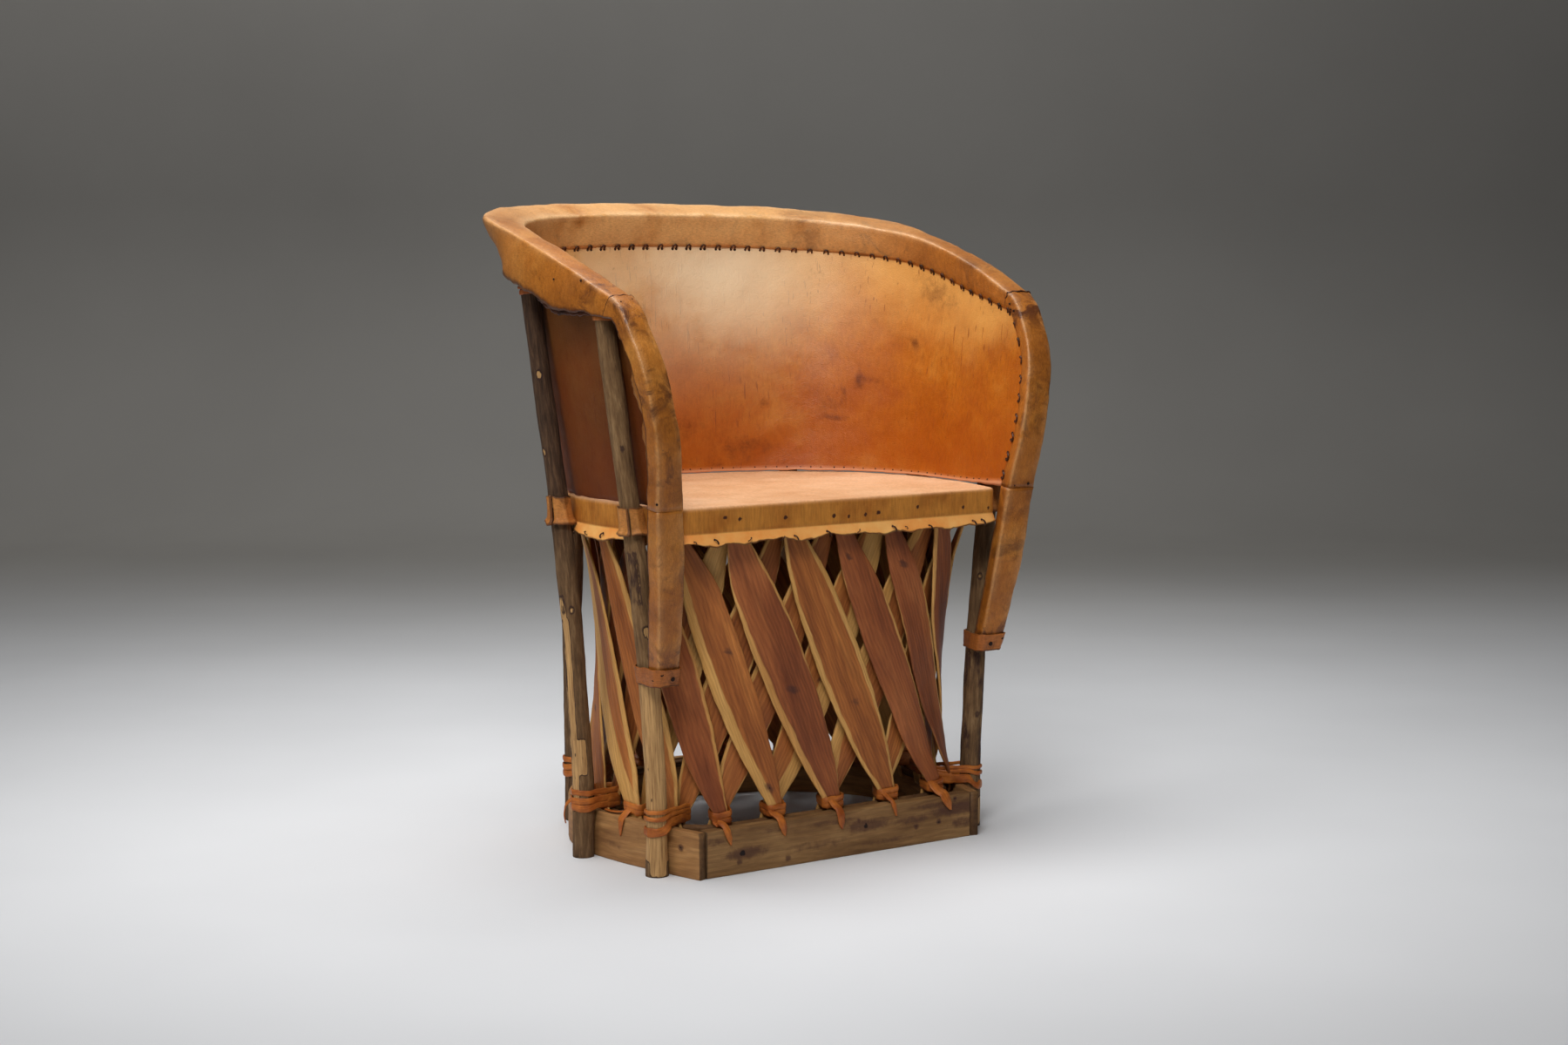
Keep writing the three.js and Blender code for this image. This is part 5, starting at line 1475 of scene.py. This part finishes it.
holes, stitches = Heap(), Heap()
rng = random.Random(77)
panel_face = back_leather / 2 + .15
post_end = 4.7
post_stitch, rim_stitch = (23, 2.1, 2.1), (22.5, 1.75, 1.7)  # pitch, size and half width in sizes
for first, last, (pitch, size, share) in (
        (seat_at + .12, post_end, post_stitch), (4.75, last_knot - 4.75, rim_stitch),
        (last_knot - post_end, last_knot - seat_at - .12, post_stitch)):
    for number in spaced(first, last, pitch, under_band):
        s = Station(number + rng.uniform(-.01, .01))
        low, wide, lift = -s.band - 2.2 * size, share * size, rng.uniform(.9, 1.3)
        on_panel, on_band = tuck_across(s) - panel_face, 1.3 - s.width / 2 - lift
        tilt = rng.uniform(-.6, .6)
        for way in (-1, 1):
            bead(holes, s.on(on_panel, low) + s.ahead * way * wide, -s.out, 1.2 * size, .5)
        thread = ((on_panel + .4, low - .2, -wide), (on_panel - .5, low + 1.6, -wide),
                  (on_band, size - s.band, tilt - wide * .75),
                  (on_band - .1, 1.7 * size - s.band, tilt),
                  (on_band, size - s.band, tilt + wide * .75),
                  (on_panel - .5, low + 1.6, wide), (on_panel + .4, low - .2, wide))
        loop(stitches, [s.on(across, up) + s.ahead * along for across, up, along in thread],
             .95 * size ** .5, s.number)

# The row of small nails along the lip at the foot of the back
length = run(panel_foot)
for goal in np.arange(40, length[-1] - 30, 15.5):
    i = int(np.searchsorted(length, goal + rng.uniform(-2, 2)))
    out = panel_foot_out[i]
    bead(holes, panel_foot[i] + out * .1, out, rng.uniform(.8, 1.25), .5)


def channel_spot(s, k, lift):
    """A point over the channel's outer side, by its place in the profile, and its normal"""
    profile = channel_profile(s, 0)
    normal = profile_normals(profile)[k]
    return s.on(*(profile[k] + normal * lift)), s.out * normal[0] + s.up * normal[1]


# Nail holes on the arms, and on the top ends of both sleeves, as rail number, place in the profile,
# size, lift and height
arm_nails = ((last_knot - seat_at - .06, 19, 1.9), (last_knot - seat_at - .04, 14, 1.1),
             (seat_at + .1, 24, 1.5), (last_knot - 6.1, 5, 1.6), (last_knot - 5.7, 5, 1.8),
             (last_knot - 5.9, 3, 1.2), (6.2, 14, 1), (6.1, 20, 1), (7.4, 26, 1.6), (8.2, 30, 1.4))
tip_nails = ((.1, 16, 3), (.16, 21, 2.2), (.09, 27, 2.6))
nails = [(*nail, .8, .6) for nail in arm_nails] + [(*nail, 3.4, .5) for nail in tip_nails]
nails += [(last_knot - number, k, size, 3.4, .5) for number, k, size in tip_nails]
for number, k, size, lift, height in nails:
    bead(holes, *channel_spot(Station(number), k, lift), size, height)

# The dark crack across each arm's top
cracks_and_skirt_shadow, ragged = Heap(), Heap()
for number in (arm_joint, last_knot - arm_joint):
    s = Station(number)
    points = [channel_spot(s, k, .9 + .3 * math.sin(k * 2.1))[0]
              + s.ahead * (1.3 * math.sin(k * 1.7)) for k in range(6, 30, 2)]
    loop(cracks_and_skirt_shadow, points, 1.25, 5, 40)


def hanging_edge(heap, first, last, seed, reach, uneven):
    """A torn strip that hangs from the skirt's inner side"""
    count = 60
    drop = (reach + uneven * fractal(np.linspace(0, 160, count), 20, seed, 3)).clip(.5)
    drop *= np.sin(np.linspace(0, math.pi, count)) ** .4
    rows = []
    for number, d in zip(np.linspace(first, last, count), drop):
        s = Station(number)
        across, up = channel_profile(s, 0)[-1] - [leather + 1.2, 0]
        rows.append(s.on(across + np.array([0, 0, .6, .2, -1.2, -1.6, -1.6]),
                         up + np.array([9, 2, -d * .6, -d, -d, 2, 9])))
    grid = np.array(rows)
    heap.add(grid, strand=grid * MM * [1, 4, 1], edge=.5)


# The dark strips under each arm's skirt are torn hide and a painted shadow under the skirt; the
# ragged strips inside the arms' fronts are plain hide
for heap, first, last, seeds, sizes in ((cracks_and_skirt_shadow, 6.9, 8.75, (31, 32), (5.5, 4)),
                                        (ragged, seat_at + .3, 5.6, (33, 34), (8, 7))):
    hanging_edge(heap, first, last, seeds[0], *sizes)
    hanging_edge(heap, last_knot - last, last_knot - first, seeds[1], *sizes)


# ---- thong round the sticks under the rim

rim_ties = Heap()
# Turns on each stick as distance down, width and gap, and where they start from the stick's top
stick_turns = (("side", ((9, 7.5, 1.2), (16, 6.5, 1.5), (12, 4, 2.8)), -24),
               ("front", ((12, 11, 1.4), (20, 7, 1.2)), 14),
               ("back", ((9, 7, 1.2), (15.5, 6.5, 1.4), (12, 4, 2.6)), -24))
for side in ("left", "right"):
    for where, turns, foot in stick_turns:
        name = "pole_%s_%s" % (where, side)
        top = node_points(name)[:, 2].max()
        for k, (below, wide, gap) in enumerate(turns):
            z = top + foot - below
            lash(rim_ties, section_at(name, z), gap, z, wide, 2.2, 400 + k + (side == "left") * 7,
                 (rng.uniform(-.12, .12), rng.uniform(-.12, .12)), 0, .8)
holes.put("stitch_holes", hole_dark)
stitches.put("rim_stitches", lace_and_shadow)
cracks_and_skirt_shadow.put("torn_edges_and_skirt_shadow", lace_and_shadow)
ragged.put("ragged_edges", rim_hide, slot="rim_leather")
rim_ties.put("rim_ties", thong, slot="thong_leather")


# ---- laces and torn bits along the seat's hem

hem_laces = Heap()
for k, share in enumerate(np.arange(.012, 1, .0265)):
    share += rng.uniform(-.011, .011)
    place, out = seat_outline.point(share), seat_outline.outward(share)
    foot = np.append(place, seat_height - fascia_height - hem_height + 4.5 + rng.uniform(-1.5, 1.5))
    axes = np.array([(*out, 0), (-out[1], out[0], 0), up_axis])
    size = rng.uniform(.5, 1)
    lean = rng.choice((-1, 1, 1)) * size
    # Out from the hem, along it and up
    lace_way = ((3.4, -3 * lean, 1.5 * size), (4.8, -1.5 * lean, 1), (5, lean, -1.5 * size),
                (3.5, 3.2 * lean, -4 * size), (-1, 4.5 * lean, -6 * size))
    loop(hem_laces, foot + np.array(lace_way) @ axes, 1.1 * size, k)
    bead(hem_laces, foot + np.array([3.2, -3 * lean, 1.6 * size]) @ axes, axes[0], 1.5 * size, .7)
hem_laces.put("hem_laces", lace_and_shadow)


# ---- floor, light and camera

camera_data = bpy.data.cameras.new("photo_camera")
camera_data.lens = 57.156
camera_data.sensor_width = 36
camera = bpy.data.objects.new("photo_camera", camera_data)
bpy.context.scene.collection.objects.link(camera)
camera.location = (-1.77256, -2.68203, 0.74567)
tilt_down, turn_right = math.radians(6.128), math.radians(34.256)
camera.rotation_euler = (math.pi / 2 - tilt_down, 0, -turn_right)
bpy.context.scene.camera = camera

# The stage lies square to the camera's heading, in metres
heading = np.array([math.sin(turn_right), math.cos(turn_right)])
beside = np.array([heading[1], -heading[0]])
eye = np.array(camera.location[:2])


def backdrop():
    """A pale floor that rises in a soft bend to a grey wall, the floor darkened towards the wall as
    painted shade
    """
    wall, bend, width, height = 7.4, .9, 14, 7
    profile = [(d, 0) for d in np.linspace(-6, wall - bend, 12)]
    profile += arc(wall - bend, bend, bend, -1, 0, 14)[1:]
    profile += [(wall, z) for z in np.linspace(bend, height, 6)[1:]]
    grid = np.array([[(*(eye + heading * d + beside * x), z) for d, z in profile]
                     for x in np.linspace(-width, width, 8)])
    mesh = bpy.data.meshes.new("backdrop")
    mesh.from_pydata(grid.reshape(-1, 3).tolist(), [], grid_faces(*grid.shape[:2]))
    mesh.polygons.foreach_set("use_smooth", [True] * len(mesh.polygons))
    s = Shade("paper", .9, 0.0, .2)
    mottle = s.noise(s.place, 1.2, 3)
    pale = s.ramp(mottle, (.3, (226, 227, 229)), (.7, (234, 235, 237)))
    grey = s.ramp(mottle, (.3, (160, 157, 152)), (.7, (166, 163, 158)))
    ahead = s.node("VectorMath", "Value", {0: s.place, 1: (*heading, 0)}, operation="DOT_PRODUCT")
    ahead = ahead - float(eye @ heading)
    # The floor turns grey over its last stretch before the bend: painted shade of the lamps'
    # falloff; the wall's grey is its own colour
    s.colour = s.blend(s.step(ahead, wall - bend - 2.4, wall - bend - .2), pale, grey)
    s.bump(s.noise(s.place, 300, 2), .0004, .1)
    mesh.materials.append(s.finish())
    piece = bpy.data.objects.new("backdrop", mesh)
    bpy.context.scene.collection.objects.link(piece)
    piece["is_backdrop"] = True


backdrop()


def spot(forward, right, height):
    return (*(heading * forward + beside * right), height)


def lamp(name, place, aim, size, watts, spread=180):
    """A soft rectangular lamp, with its spread in degrees"""
    data = bpy.data.lights.new(name, "AREA")
    data.shape = "RECTANGLE"
    data.size, data.size_y = size
    data.energy = watts
    data.spread = math.radians(spread)
    piece = bpy.data.objects.new(name, data)
    piece.location = place
    piece.rotation_euler = (Vector(aim) - Vector(place)).to_track_quat("-Z", "Y").to_euler()
    bpy.context.scene.collection.objects.link(piece)


lamp("top", spot(.1, -.35, 2.7), spot(-.2, 0, .3), (1.9, 1.7), 20, 105)
lamp("front", spot(-2.3, -.3, 2.5), spot(0, 0, .62), (1.2, .9), 6, 60)
lamp("key", spot(-1.6, -2.4, 2.2), (0, 0, .5), (1.4, 1.6), 5.5, 90)
lamp("fill", spot(-2.6, 1.8, 1.6), (0, 0, .5), (1.8, 1.6), .7, 90)
lamp("wall_wash", spot(2.7, -1.2, 4.2), spot(4.3, -1.2, 2.9), (5, .6), 74)
world = bpy.data.worlds.new("studio")
world.use_nodes = True
background = world.node_tree.nodes["Background"].inputs
background["Color"].default_value = (.8, .82, .85, 1)
background["Strength"].default_value = .055
bpy.context.scene.world = world
bpy.context.scene.view_settings.view_transform = "Standard"

low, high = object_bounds()
